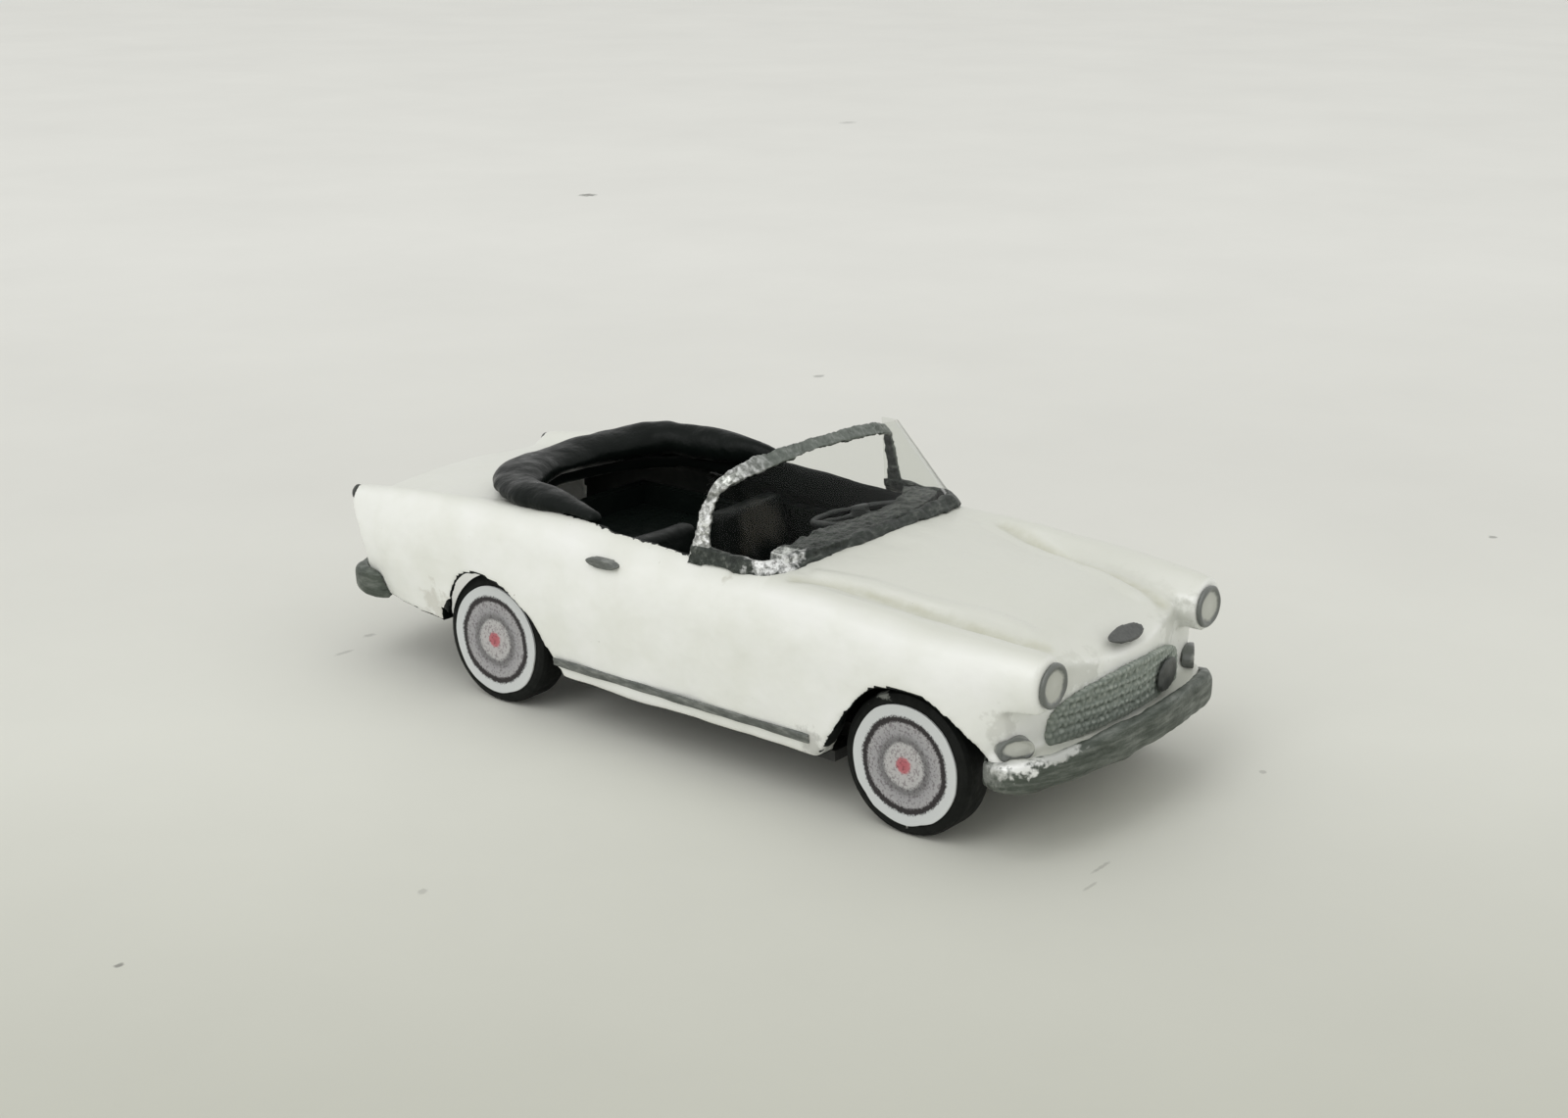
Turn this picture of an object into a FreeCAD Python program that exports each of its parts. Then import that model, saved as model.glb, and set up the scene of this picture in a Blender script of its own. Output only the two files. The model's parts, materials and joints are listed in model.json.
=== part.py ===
"""Small painted scale model of an open two-seat touring car, in millimetres.

The car stands on its wheels with +Z up and its nose towards -Y. The origin lies on the floor
below the middle of its length and width. Every length is a named size of the sheet, or is
worked out from named sizes. Names that end in share or shares hold fractions of such sizes.
"""

import FreeCAD, Part
import math
import os

import Sketcher

document = FreeCAD.newDocument("open_two_seater")

SIZES = {
    # Overall body
    "front_overhang": 7.75,
    "wheelbase": 25.1,
    "rear_overhang": 11.65,
    "body_width": 17.7,
    "belt_height": 10.23,
    "sill_height": 2.43,
    "body_wall": 0.9,
    "overrun": 1.0,
    "glue_line": 0.03,
    "fit_gap": 0.08,
    # Wheels and axles
    "tyre_radius": 3.3,
    "tyre_width": 1.9,
    "tyre_shoulder": 0.3,
    "rim_radius": 2.85,
    "rim_dish": 0.5,
    "disc_radius": 2.78,
    "disc_thickness": 0.1,
    "hub_radius": 1.1,
    "hub_length": 0.35,
    "front_wheel_inset": 1.6,
    "rear_wheel_inset": 1.7,
    "axle_radius": 0.55,
    "axle_clearance": 0.09,
    # Wheel arches and wells
    "front_arch_radius": 3.7,
    "rear_arch_radius": 3.6,
    "well_clearance": 0.38,
    "well_side_gap": 0.3,
    "arch_lip": 0.45,
    # Nose
    "nose_inset": 3.35,
    "nose_bow": 1.0,
    "nose_flare": 0.75,
    "nose_set_back": 1.55,
    # Bumpers
    "bumper_thickness": 0.55,
    "front_bumper_lift": 0.98,
    "front_bumper_height": 1.5,
    "front_bumper_droop": 0.45,
    "rear_bumper_lift": 1.3,
    "rear_bumper_height": 1.42,
    "shelf_drop": 0.22,
    # Chassis plate
    "pan_inset": 1.65,
    "pan_drop": 0.5,
    "pan_wheel_gap": 1.25,
    "spine_gap": 0.5,
    "spine_thickness": 0.7,
    "spine_reach": 3.2,
    "lug_length": 2.4,
    "lug_height": 1.0,
    # Cockpit opening and tub
    "rail_width": 1.65,
    "opening_front_gap": 8.05,
    "opening_rear_reach": 3.05,
    "tub_lap": 0.05,
    "tub_wall": 0.6,
    "tub_floor": 0.7,
    "tub_lead": 0.4,
    "tub_drop": 2.0,
    "tub_wheel_gap": 1.65,
    "tub_rear_gap": 0.8,
    "well_floor_drop": 3.1,
    # Dashboard
    "dash_lead": 0.15,
    "dash_depth": 2.3,
    "dash_height": 1.7,
    # Seats
    "seat_lead": 4.95,
    "seat_tunnel_gap": 0.8,
    "seat_side_gap": 0.6,
    "seat_depth": 4.6,
    "seat_base_height": 1.5,
    "seat_thigh_rise": 0.15,
    "seat_back_thickness": 1.1,
    "seat_back_height": 5.2,
    "seat_back_lean": 0.9,
    "seat_rounding": 0.3,
    # Steering wheel
    "steering_radius": 2.25,
    "steering_rim_radius": 0.18,
    "steering_shift": 0.3,
    "steering_drop": 2.2,
    "steering_lead": 4.65,
    "steering_hub_radius": 0.45,
    "column_radius": 0.25,
    "column_length": 2.6,
    "spoke_radius": 0.14,
    # Windscreen
    "screen_inset": 1.15,
    "screen_depth": 5.97,
    "screen_lead": 1.24,
    "screen_top_inset": 2.4,
    "screen_top_depth": 0.55,
    "screen_lean": 0.5,
    "screen_corner_radius": 1.1,
    "screen_top_corner_radius": 0.3,
    "screen_bow": 0.45,
    "screen_top_bow": 0.2,
    "screen_rise": 3.4,
    "screen_arch": 0.6,
    "film_thickness": 0.14,
    "foil_thickness": 0.1,
    "foil_width": 0.45,
    "base_foil_width": 1.25,
    # Folded hood under its cover
    "hood_rise": 0.9,
    # Grille
    "grille_side_gap": 0.1,
    "grille_lift": 1.3,
    "grille_height": 2.55,
    "grille_plate": 0.16,
    "grille_relief": 0.14,
    "grille_rim": 0.22,
    "grille_bar": 0.17,
    "grille_pitch": 0.46,
    # Lamps and small trim
    "headlamp_radius": 1.0,
    "headlamp_inset": 2.23,
    "headlamp_drop": 2.2,
    "headlamp_depth": 0.3,
    "headlamp_ring": 0.14,
    "sidelight_half_width": 0.85,
    "sidelight_half_height": 0.58,
    "sidelight_inset": 1.65,
    "sidelight_lift": 1.7,
    "sidelight_gap": 2.74,
    "sidelight_depth": 0.6,
    "lamp_ring": 0.12,
    "lamp_recess": 0.08,
    "tail_lamp_half_width": 0.4,
    "tail_lamp_half_height": 0.42,
    "tail_lamp_inset": 1.85,
    "tail_lamp_drop": 1.58,
    "tail_lamp_depth": 0.16,
    "badge_half_width": 0.98,
    "badge_half_height": 0.42,
    "badge_drop": 2.18,
    "badge_gap": 2.15,
    "badge_depth": 0.5,
    "emblem_half_width": 0.85,
    "emblem_half_height": 0.66,
    "emblem_inset": 1.85,
    "emblem_lift": 0.92,
    "emblem_depth": 0.14,
    "handle_half_length": 0.97,
    "handle_half_height": 0.25,
    "handle_drop": 1.25,
    "handle_inset": 0.15,
    "handle_depth": 0.5,
    "handle_rear_gap": 2.02,
    "sill_trim_lift": 0.7,
    "sill_trim_height": 0.43,
    "sill_trim_front_gap": 1.3,
    "sill_trim_rear_gap": 0.8,
    "sill_trim_depth": 0.12,
    "door_lead": 0.15,
    "door_rear_gap": 5.7,
    "door_lift": 1.6,
    "shut_line_width": 0.12,
    "shut_line_depth": 0.1,
}

sheet = document.addObject("Spreadsheet::Sheet", "sizes")
for row, (name, value) in enumerate(SIZES.items(), start=1):
    sheet.set(f"A{row}", str(value))
    sheet.setAlias(f"A{row}", name)
document.recompute()


class Length:
    """A length with its present value and the formula that gives it from the sheet."""

    def __init__(self, value, formula):
        self.value = value
        self.formula = formula

    def __add__(self, other):
        return Length(self.value + other.value, f"({self.formula} + {other.formula})")

    def __sub__(self, other):
        return Length(self.value - other.value, f"({self.formula} - {other.formula})")

    def __mul__(self, factor):
        return Length(self.value * factor, f"({self.formula} * {factor})")

    def __truediv__(self, divisor):
        return Length(self.value / divisor, f"({self.formula} / {divisor})")

    def __neg__(self):
        return Length(-self.value, f"(0 - {self.formula})")


class Sizes:
    """Every named size of the sheet as an attribute."""

    def __getattr__(self, name):
        return Length(float(sheet.get(name)), f"sizes.{name}")


mm = Sizes()
ZERO = Length(0.0, "0")

# Places along the car
half_width = mm.body_width / 2
length = mm.front_overhang + mm.wheelbase + mm.rear_overhang
nose_y = -(length / 2)
front_axle_y = nose_y + mm.front_overhang
rear_axle_y = front_axle_y + mm.wheelbase
opening_front_y = front_axle_y + mm.opening_front_gap
opening_rear_y = rear_axle_y + mm.opening_rear_reach
opening_length = opening_rear_y - opening_front_y
door_front_y = opening_front_y + mm.door_lead
door_rear_y = rear_axle_y - mm.door_rear_gap
screen_rear_y = opening_front_y - mm.screen_lead + mm.screen_depth

# Places across the car
front_track = mm.body_width - mm.front_wheel_inset * 2
rear_track = mm.body_width - mm.rear_wheel_inset * 2
well_inner_reach = rear_track / 2 - mm.tyre_width / 2 - mm.well_side_gap
well_outer_reach = half_width - mm.arch_lip
spine_half_width = well_inner_reach - mm.spine_gap
pan_half_width = half_width - mm.pan_inset
opening_half_width = half_width - mm.rail_width
tub_half_width = opening_half_width + mm.tub_lap
seat_width = tub_half_width - mm.tub_wall - mm.seat_side_gap - mm.seat_tunnel_gap
seat_offset = mm.seat_tunnel_gap + seat_width / 2
screen_half_width = half_width - mm.screen_inset
screen_top_half_width = half_width - mm.screen_top_inset
nose_half_width = half_width - mm.nose_inset
grille_half_width = nose_half_width - mm.grille_side_gap
emblem_offset = grille_half_width - mm.emblem_inset
headlamp_offset = half_width - mm.headlamp_inset
sidelight_offset = half_width - mm.sidelight_inset
tail_lamp_offset = half_width - mm.tail_lamp_inset
handle_reach = half_width - mm.handle_inset

# Heights
spine_bottom = mm.sill_height
spine_top = mm.sill_height + mm.spine_thickness
pan_bottom = mm.sill_height - mm.pan_drop
front_bumper_bottom = mm.sill_height + mm.front_bumper_lift
rear_bumper_bottom = mm.sill_height + mm.rear_bumper_lift
grille_bottom = front_bumper_bottom + mm.grille_lift
emblem_height = grille_bottom + mm.emblem_lift
sidelight_height = front_bumper_bottom + mm.sidelight_lift
sill_trim_bottom = mm.sill_height + mm.sill_trim_lift
door_bottom = mm.sill_height + mm.door_lift
tub_top = mm.belt_height - mm.tub_drop
well_floor_height = mm.belt_height - mm.well_floor_drop
steering_height = mm.belt_height - mm.steering_drop
screen_foot = mm.belt_height - mm.body_wall
screen_corner_height = mm.belt_height + mm.screen_rise
screen_top = screen_corner_height + mm.screen_arch + mm.foil_width
hood_crest = mm.belt_height + mm.hood_rise
headlamp_height = mm.belt_height - mm.headlamp_drop
tail_lamp_height = mm.belt_height - mm.tail_lamp_drop
badge_height = mm.belt_height - mm.badge_drop
handle_height = mm.belt_height - mm.handle_drop

X_AXIS = FreeCAD.Vector(1, 0, 0)
Y_AXIS = FreeCAD.Vector(0, 1, 0)
Z_AXIS = FreeCAD.Vector(0, 0, 1)
TURNED_TO = {
    "x": FreeCAD.Rotation(Y_AXIS, 90),
    "y": FreeCAD.Rotation(X_AXIS, -90),
    "z": FreeCAD.Rotation(),
}
nodes = []


def keep(piece, label):
    """Give a finished piece the label that names its file."""
    piece.Label = label
    nodes.append(piece)
    return piece


def place(piece, corner, rotation=None):
    """Put a piece at a corner given by three lengths."""
    if rotation is not None:
        piece.Placement = FreeCAD.Placement(FreeCAD.Vector(), rotation)
    for axis, position in zip("xyz", corner):
        piece.setExpression(f"Placement.Base.{axis}", position.formula)
    return piece


def box(name, corner, sides):
    """A box from its lowest corner and three side lengths."""
    piece = document.addObject("Part::Box", name)
    for side, value in zip(("Length", "Width", "Height"), sides):
        piece.setExpression(side, value.formula)
    return place(piece, corner)


def rod(name, start, radius, reach, axis):
    """A cylinder that starts at a point and runs along one axis."""
    piece = document.addObject("Part::Cylinder", name)
    piece.setExpression("Radius", radius.formula)
    piece.setExpression("Height", reach.formula)
    return place(piece, start, TURNED_TO[axis])


def fuse(name, *pieces):
    joined = document.addObject("Part::MultiFuse", name)
    joined.Shapes = list(pieces)
    return joined


def cut(name, base, tool):
    rest = document.addObject("Part::Cut", name)
    rest.Base = base
    rest.Tool = tool
    return rest


def common(name, base, tool):
    shared = document.addObject("Part::Common", name)
    shared.Base = base
    shared.Tool = tool
    return shared


def mirrored(name, source):
    """The same piece on the other side of the car."""
    twin = document.addObject("Part::Mirroring", name)
    twin.Source = source
    twin.Normal = X_AXIS
    return twin


def feature(name, shape):
    piece = document.addObject("Part::Feature", name)
    piece.Shape = shape
    return piece


def point(x, y, z):
    return FreeCAD.Vector(x.value, y.value, z.value)


def spline(points, closed=False):
    """A smooth curve through points, with one even step from each to the next."""
    curve = Part.BSplineCurve()
    steps = len(points) + 1 if closed else len(points)
    parameters = [float(step) for step in range(steps)]
    curve.interpolate(Points=points, PeriodicFlag=closed, Parameters=parameters)
    return curve.toShape()


def prism(face, direction, reach):
    """A flat face pushed straight along a direction."""
    return face.extrude(direction * reach.value)


def body_sketch(body, role, outline):
    """A closed outline of straight lines, each corner held by two sizes of the sheet."""
    plane = [item for item in body.Origin.OriginFeatures if item.Role == role][0]
    sketch = body.newObject("Sketcher::SketchObject", f"{body.Name}_outline")
    sketch.AttachmentSupport = [(plane, "")]
    sketch.MapMode = "FlatFace"
    corners = [FreeCAD.Vector(across.value, along.value, 0) for across, along in outline]
    for index, corner in enumerate(corners):
        sketch.addGeometry(Part.LineSegment(corner, corners[(index + 1) % len(corners)]), False)
    for index, (across, along) in enumerate(outline):
        follower = (index + 1) % len(outline)
        sketch.addConstraint(Sketcher.Constraint("Coincident", index, 2, follower, 1))
        for kind, position in (("DistanceX", across), ("DistanceY", along)):
            if position.value == 0:
                where = "Y" if kind == "DistanceX" else "X"
                axis = -2 if where == "Y" else -1
                sketch.addConstraint(Sketcher.Constraint("PointOnObject", index, 1, axis))
                continue
            number = sketch.addConstraint(
                Sketcher.Constraint(kind, -1, 1, index, 1, position.value)
            )
            sketch.setExpression(f"Constraints[{number}]", position.formula)
    return sketch


def pad(body, role, outline, reach, middle=False):
    """Push an outline out of one of the body's own planes."""
    sketch = body_sketch(body, role, outline)
    padding = body.newObject("PartDesign::Pad", f"{body.Name}_pad")
    padding.Profile = sketch
    padding.setExpression("Length", reach.formula)
    padding.Midplane = middle
    return padding


def revolve(body, role, outline):
    """Turn an outline about the first axis of its own sketch."""
    sketch = body_sketch(body, role, outline)
    turned = body.newObject("PartDesign::Revolution", f"{body.Name}_turned")
    turned.Profile = sketch
    turned.ReferenceAxis = (sketch, ["H_Axis"])
    turned.Angle = 360
    return turned


def station(zone, share):
    """A place along the car, as a share of an overhang or of the wheelbase."""
    if zone == "front":
        return front_axle_y - mm.front_overhang * share
    if zone == "middle":
        return front_axle_y + mm.wheelbase * share
    return rear_axle_y + mm.rear_overhang * share


# Half sections of the body from the sill to the centre line, nose first. Each place is a share
# of half the width and of the belt height.
BODY_SHARES = [
    ("front", 0.80, [(0.45, 0.355), (0.60, 0.497), (0.77, 0.62), (0.865, 0.697), (0.885, 0.826),
                     (0.79, 0.908), (0.67, 0.868), (0.56, 0.78), (0.50, 0.755), (0.28, 0.75),
                     (0, 0.754)]),
    ("front", 0.652, [(0.74, 0.355), (0.825, 0.501), (0.885, 0.631), (0.92, 0.723), (0.91, 0.846),
                      (0.81, 0.926), (0.70, 0.897), (0.60, 0.834), (0.54, 0.826), (0.28, 0.829),
                      (0, 0.834)]),
    ("front", 0.445, [(0.88, 0.355), (0.935, 0.487), (0.965, 0.641), (0.965, 0.754), (0.925, 0.873),
                      (0.825, 0.938), (0.72, 0.915), (0.62, 0.872), (0.555, 0.878), (0.28, 0.89),
                      (0, 0.895)]),
    ("front", 0.0, [(0.94, 0.25), (0.98, 0.456), (1, 0.641), (0.99, 0.785), (0.94, 0.893),
                    (0.835, 0.953), (0.73, 0.928), (0.635, 0.893), (0.56, 0.908), (0.285, 0.938),
                    (0, 0.947)]),
    ("middle", 0.181, [(0.94, 0.222), (0.985, 0.456), (1, 0.651), (0.99, 0.79), (0.94, 0.905),
                       (0.855, 0.968), (0.765, 0.956), (0.68, 0.932), (0.61, 0.946), (0.30, 0.971),
                       (0, 0.979)]),
    ("middle", 0.341, [(0.94, 0.222), (0.985, 0.456), (1, 0.651), (0.99, 0.795), (0.94, 0.905),
                       (0.875, 0.962), (0.80, 0.983), (0.72, 0.985), (0.64, 0.988), (0.30, 0.998),
                       (0, 1.0)]),
    ("middle", 0.5, [(0.94, 0.222), (0.985, 0.456), (1, 0.651), (0.985, 0.79), (0.94, 0.885),
                     (0.88, 0.947), (0.82, 0.983), (0.74, 0.993), (0.64, 0.995), (0.30, 1.0),
                     (0, 1.003)]),
    ("middle", 0.751, [(0.94, 0.222), (0.985, 0.456), (1, 0.651), (0.98, 0.80), (0.94, 0.90),
                       (0.885, 0.965), (0.825, 1.0), (0.74, 1.003), (0.64, 0.997), (0.3, 1.0),
                       (0, 1.0)]),
    ("rear", 0.0, [(0.935, 0.29), (0.975, 0.477), (0.985, 0.651), (0.97, 0.815), (0.93, 0.92),
                   (0.865, 0.985), (0.785, 0.99), (0.70, 0.975), (0.62, 0.972), (0.3, 0.99),
                   (0, 0.995)]),
    ("rear", 0.382, [(0.925, 0.345), (0.965, 0.497), (0.98, 0.651), (0.965, 0.805), (0.915, 0.91),
                     (0.85, 0.973), (0.765, 0.958), (0.69, 0.932), (0.61, 0.928), (0.3, 0.944),
                     (0, 0.949)]),
    ("rear", 0.725, [(0.86, 0.379), (0.92, 0.508), (0.945, 0.651), (0.925, 0.785), (0.885, 0.88),
                     (0.825, 0.932), (0.755, 0.91), (0.69, 0.878), (0.61, 0.873), (0.3, 0.893),
                     (0, 0.90)]),
    ("rear", 0.948, [(0.76, 0.395), (0.84, 0.518), (0.885, 0.651), (0.875, 0.765), (0.845, 0.85),
                     (0.79, 0.894), (0.725, 0.872), (0.66, 0.845), (0.59, 0.84), (0.3, 0.858),
                     (0, 0.864)]),
]


def body_section(y, half_section, inset):
    """The points of one body section from side to side, drawn inwards by an inset."""
    narrowing = 1 - inset.value / half_width.value
    right = [
        point(half_width * (across * narrowing), y, mm.belt_height * up - inset)
        for across, up in half_section
    ]
    left = [FreeCAD.Vector(-corner.x, corner.y, corner.z) for corner in right[:-1]]
    return left + right[::-1]


def body_loft(inset, first, last):
    """The smooth body between two of its sections, drawn inwards by an inset."""
    wires = []
    for zone, share, half_section in BODY_SHARES[first:last]:
        outline = body_section(station(zone, share), half_section, inset)
        sill = Part.LineSegment(outline[-1], outline[0]).toShape()
        wires.append(Part.Wire([spline(outline), sill]))
    return Part.makeLoft(wires, True, False)


# The cavity under the body takes these of its sections, and these points of each half section.
CAVITY_SECTIONS = [2, 3, 4, 6, 8, 9, 10]
CAVITY_CORNERS = [2, 4, 5, 7, 10]
CAVITY_SILL_SHARE = 0.79


def cavity_loft():
    """The space inside the body, a wall's thickness in, with flat faces."""
    wires = []
    for number in CAVITY_SECTIONS:
        zone, share, half_section = BODY_SHARES[number]
        y = station(zone, share)
        corners = [half_section[corner] for corner in CAVITY_CORNERS]
        foot = point(half_width * CAVITY_SILL_SHARE, y, mm.sill_height - mm.overrun)
        outline = body_section(y, corners, mm.body_wall)
        outline = [FreeCAD.Vector(-foot.x, foot.y, foot.z)] + outline + [foot]
        wires.append(Part.makePolygon(outline + outline[:1]))
    return Part.makeLoft(wires, True, True)


# Outline of a wheel arch around its axle, rear foot to front foot, as shares of its radius.
FRONT_ARCH_SHARES = [(1.43, -0.42), (1.25, -0.19), (1.04, 0.13), (0.89, 0.34), (0.69, 0.60),
                     (0.44, 0.85), (0.17, 0.94), (-0.12, 0.96), (-0.42, 0.92), (-0.70, 0.74),
                     (-0.93, 0.52), (-1.14, 0.25), (-1.25, 0.0), (-1.30, -0.42)]
REAR_ARCH_SHARES = [(0.83, -0.5), (0.81, 0.05), (0.79, 0.27), (0.74, 0.52), (0.59, 0.78),
                    (0.29, 0.915), (-0.15, 0.89), (-0.55, 0.74), (-0.82, 0.53), (-1.0, 0.28),
                    (-1.10, 0.10), (-1.24, -0.09), (-1.35, -0.5)]


def arch_cutter(name, axle_y, radius, outline_shares):
    """The opening of one wheel arch through the right side of the body."""
    outline = [
        point(-well_inner_reach, axle_y + radius * along, mm.tyre_radius + radius * up)
        for along, up in outline_shares
    ]
    edges = [spline(outline), Part.LineSegment(outline[-1], outline[0]).toShape()]
    return feature(name, prism(Part.Face(Part.Wire(edges)), -X_AXIS, half_width))


def well_cutter(name, axle_y):
    """The round space that the wheel turns in, behind the lip of the arch."""
    start = (-well_outer_reach, axle_y, mm.tyre_radius)
    reach = well_outer_reach - well_inner_reach
    return rod(name, start, mm.tyre_radius + mm.well_clearance, reach, "x")


# Plan of each bumper from its end at the side to the centre line, as shares of half the width
# and of the overhang.
FRONT_BUMPER_SHARES = [(0.93, 0.523), (0.968, 0.60), (0.975, 0.67), (0.942, 0.735),
                       (0.876, 0.80), (0.78, 0.86), (0.687, 0.897), (0.504, 0.943), (0.297, 0.982),
                       (0, 1.0)]
REAR_BUMPER_SHARES = [(0.935, 0.70), (0.957, 0.765), (0.945, 0.845), (0.88, 0.915),
                      (0.73, 0.955), (0.50, 0.98), (0.25, 0.995), (0, 1.0)]

# Side view of the space above the front bumper's drooping ends, as shares of the overhang.
BUMPER_DROOP_SHARES = (0.80, 0.50)

# Cross section of a bumper: share of its height, share of its thickness that the face lies in.
BUMPER_BULGE_SHARES = [(0.0, 0.42), (0.12, 0.12), (0.32, 0.01), (0.68, 0.0), (0.88, 0.10),
                       (1.0, 0.38)]


def bumper_curve(shares, zone, overhang, inset, z):
    """Half a bumper's plan and its mirror image, drawn inwards by an inset."""
    right = [
        point(
            (half_width - inset) * across,
            station(zone, along * (1 - inset.value / overhang.value)),
            z,
        )
        for across, along in shares
    ]
    return [FreeCAD.Vector(-corner.x, corner.y, corner.z) for corner in right[:-1]] + right[::-1]


def bumper_solid(shares, zone, overhang, bottom, height):
    """A bumper bar with rounded edges, bent round the end of the car."""
    wires = []
    for up, inset in BUMPER_BULGE_SHARES:
        z = bottom + height * up
        outer = bumper_curve(shares, zone, overhang, mm.bumper_thickness * inset, z)
        inner = bumper_curve(shares, zone, overhang, mm.bumper_thickness, z)
        wires.append(Part.Wire([
            spline(outer),
            Part.LineSegment(outer[-1], inner[-1]).toShape(),
            spline(inner),
            Part.LineSegment(inner[0], outer[0]).toShape(),
        ]))
    return Part.makeLoft(wires, True, False)


def shelf_solid(shares, zone, overhang, bottom, height):
    """The white moulding that fills the space between a bumper and the body."""
    inset = mm.bumper_thickness + mm.glue_line
    outline = bumper_curve(shares, zone, overhang, inset, bottom + mm.shelf_drop)
    edges = [spline(outline), Part.LineSegment(outline[-1], outline[0]).toShape()]
    return prism(Part.Face(Part.Wire(edges)), Z_AXIS, height - mm.shelf_drop * 2)


# Plan of the cockpit opening from its front edge to its rear edge: share of its half width, and
# share of its length.
OPENING_SHARES = [(0, 0.0), (0.50, 0.008), (0.88, 0.02), (0.985, 0.085), (1.0, 0.25),
                  (1.0, 0.40), (0.98, 0.52), (0.955, 0.62), (0.92, 0.72), (0.84, 0.85),
                  (0.69, 0.935), (0.40, 0.985), (0, 1.0)]


def opening_prism(inset, bottom, reach):
    """The cockpit opening as an upright block, drawn inwards by an inset."""
    right = [
        point(
            (opening_half_width - inset) * across,
            opening_front_y + inset + (opening_length - inset * 2) * along,
            bottom,
        )
        for across, along in OPENING_SHARES
    ]
    left = [FreeCAD.Vector(-corner.x, corner.y, corner.z) for corner in right[-2:0:-1]]
    outline = spline(right + left, closed=True)
    return prism(Part.Face(Part.Wire([outline])), Z_AXIS, reach)


# Side view of the tail: share of the rear overhang, share of the belt height.
TAIL_SHARES = [(0.938, 1.2), (0.938, 0.805), (0.86, 0.692), (0.828, 0.61), (0.82, 0.15),
               (1.2, 0.15), (1.2, 1.2)]


def tail_cutter():
    """The space behind the body, which leans forward below the tail lamps."""
    outline = [
        point(-half_width - mm.overrun, station("rear", along), mm.belt_height * up)
        for along, up in TAIL_SHARES
    ]
    face = Part.Face(Part.makePolygon(outline + outline[:1]))
    return prism(face, X_AXIS, mm.body_width + mm.overrun * 2)


def nose_arc(depth, z):
    """The bowed plan of the nose between the headlamps, set in by a depth."""
    ends_y = nose_y + mm.nose_set_back + mm.nose_bow + depth
    middle_y = ends_y - mm.nose_bow
    right = point(nose_half_width, ends_y, z)
    left = point(-nose_half_width, ends_y, z)
    return Part.Arc(left, point(ZERO, middle_y, z), right).toShape()


def nose_cutter():
    """The space in front of the bowed nose, less the two pods that carry the headlamps."""
    arc = nose_arc(ZERO, ZERO)
    left, right = arc.Vertexes[0].Point, arc.Vertexes[-1].Point
    side = (half_width + mm.overrun).value
    front = (nose_y - mm.overrun).value
    flared_y = right.y + mm.nose_flare.value
    corners = [
        right,
        FreeCAD.Vector(side, flared_y, 0),
        FreeCAD.Vector(side, front, 0),
        FreeCAD.Vector(-side, front, 0),
        FreeCAD.Vector(-side, flared_y, 0),
        left,
    ]
    edges = [arc] + [
        Part.LineSegment(corners[index], corners[index + 1]).toShape()
        for index in range(len(corners) - 1)
    ]
    space = prism(Part.Face(Part.Wire(edges)), Z_AXIS, mm.belt_height * 2)
    radius = headlamp_offset - nose_half_width
    start_y = nose_y - mm.overrun * 2
    reach = mm.front_overhang
    pod = fuse(
        "pod_left",
        rod("pod_round_left", (headlamp_offset, start_y, headlamp_height), radius, reach, "y"),
        box(
            "pod_top_left",
            (nose_half_width, start_y, headlamp_height),
            (half_width, reach, mm.belt_height),
        ),
        box(
            "pod_side_left",
            (headlamp_offset, start_y, headlamp_height - radius),
            (half_width, reach, mm.belt_height),
        ),
    )
    pods = fuse("pods", pod, mirrored("pod_right", pod))
    return cut("nose_space", feature("nose_front", space), pods)


def shut_lines():
    """Shallow engraved lines at the doors, cut down to a loft just inside the body."""
    core = feature("shut_line_core", body_loft(mm.shut_line_depth, 3, 9))
    sides = (mm.body_width + mm.overrun * 2, mm.shut_line_width, mm.belt_height)
    left = -half_width - mm.overrun
    slots = fuse(
        "shut_line_slots",
        box("door_front_line", (left, door_front_y, door_bottom), sides),
        box("door_rear_line", (left, door_rear_y, door_bottom), sides),
    )
    centre = box(
        "shut_line_keep",
        (-opening_half_width, front_axle_y, ZERO),
        (opening_half_width * 2, mm.wheelbase, mm.belt_height * 2),
    )
    return cut("door_lines", slots, fuse("shut_line_inside", core, centre))


def body_shell():
    """The hollow one-piece body: a loft with its nose, tail, arches, cavity and cockpit cut."""
    skin = feature("body_loft", body_loft(ZERO, 0, len(BODY_SHARES)))
    nosed = cut("body_nosed", skin, nose_cutter())
    tailed = cut("body_tailed", nosed, feature("tail_space", tail_cutter()))
    front_shelf = shelf_solid(
        FRONT_BUMPER_SHARES, "front", mm.front_overhang, front_bumper_bottom,
        mm.front_bumper_height,
    )
    rear_shelf = shelf_solid(
        REAR_BUMPER_SHARES, "rear", mm.rear_overhang, rear_bumper_bottom,
        mm.rear_bumper_height,
    )
    shelved = fuse(
        "body_shelved", tailed, feature("front_shelf", front_shelf),
        feature("rear_shelf", rear_shelf),
    )
    hollow = cut("body_hollow", shelved, feature("cavity", cavity_loft()))
    tools = [
        feature("cockpit_space", opening_prism(ZERO, mm.sill_height, mm.belt_height)),
        box(
            "below_sill",
            (-half_width - mm.overrun, nose_y - mm.overrun, ZERO),
            (mm.body_width + mm.overrun * 2, length + mm.overrun * 2, mm.sill_height),
        ),
    ]
    for zone, axle_y, radius, shares in (
        ("front", front_axle_y, mm.front_arch_radius, FRONT_ARCH_SHARES),
        ("rear", rear_axle_y, mm.rear_arch_radius, REAR_ARCH_SHARES),
    ):
        for right in (
            arch_cutter(f"{zone}_arch_right", axle_y, radius, shares),
            well_cutter(f"{zone}_well_right", axle_y),
        ):
            tools += [right, mirrored(right.Name.replace("right", "left"), right)]
    opened = cut("body_opened", hollow, fuse("body_spaces", *tools))
    return keep(cut("body_shell", opened, shut_lines()), "body_shell")


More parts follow.
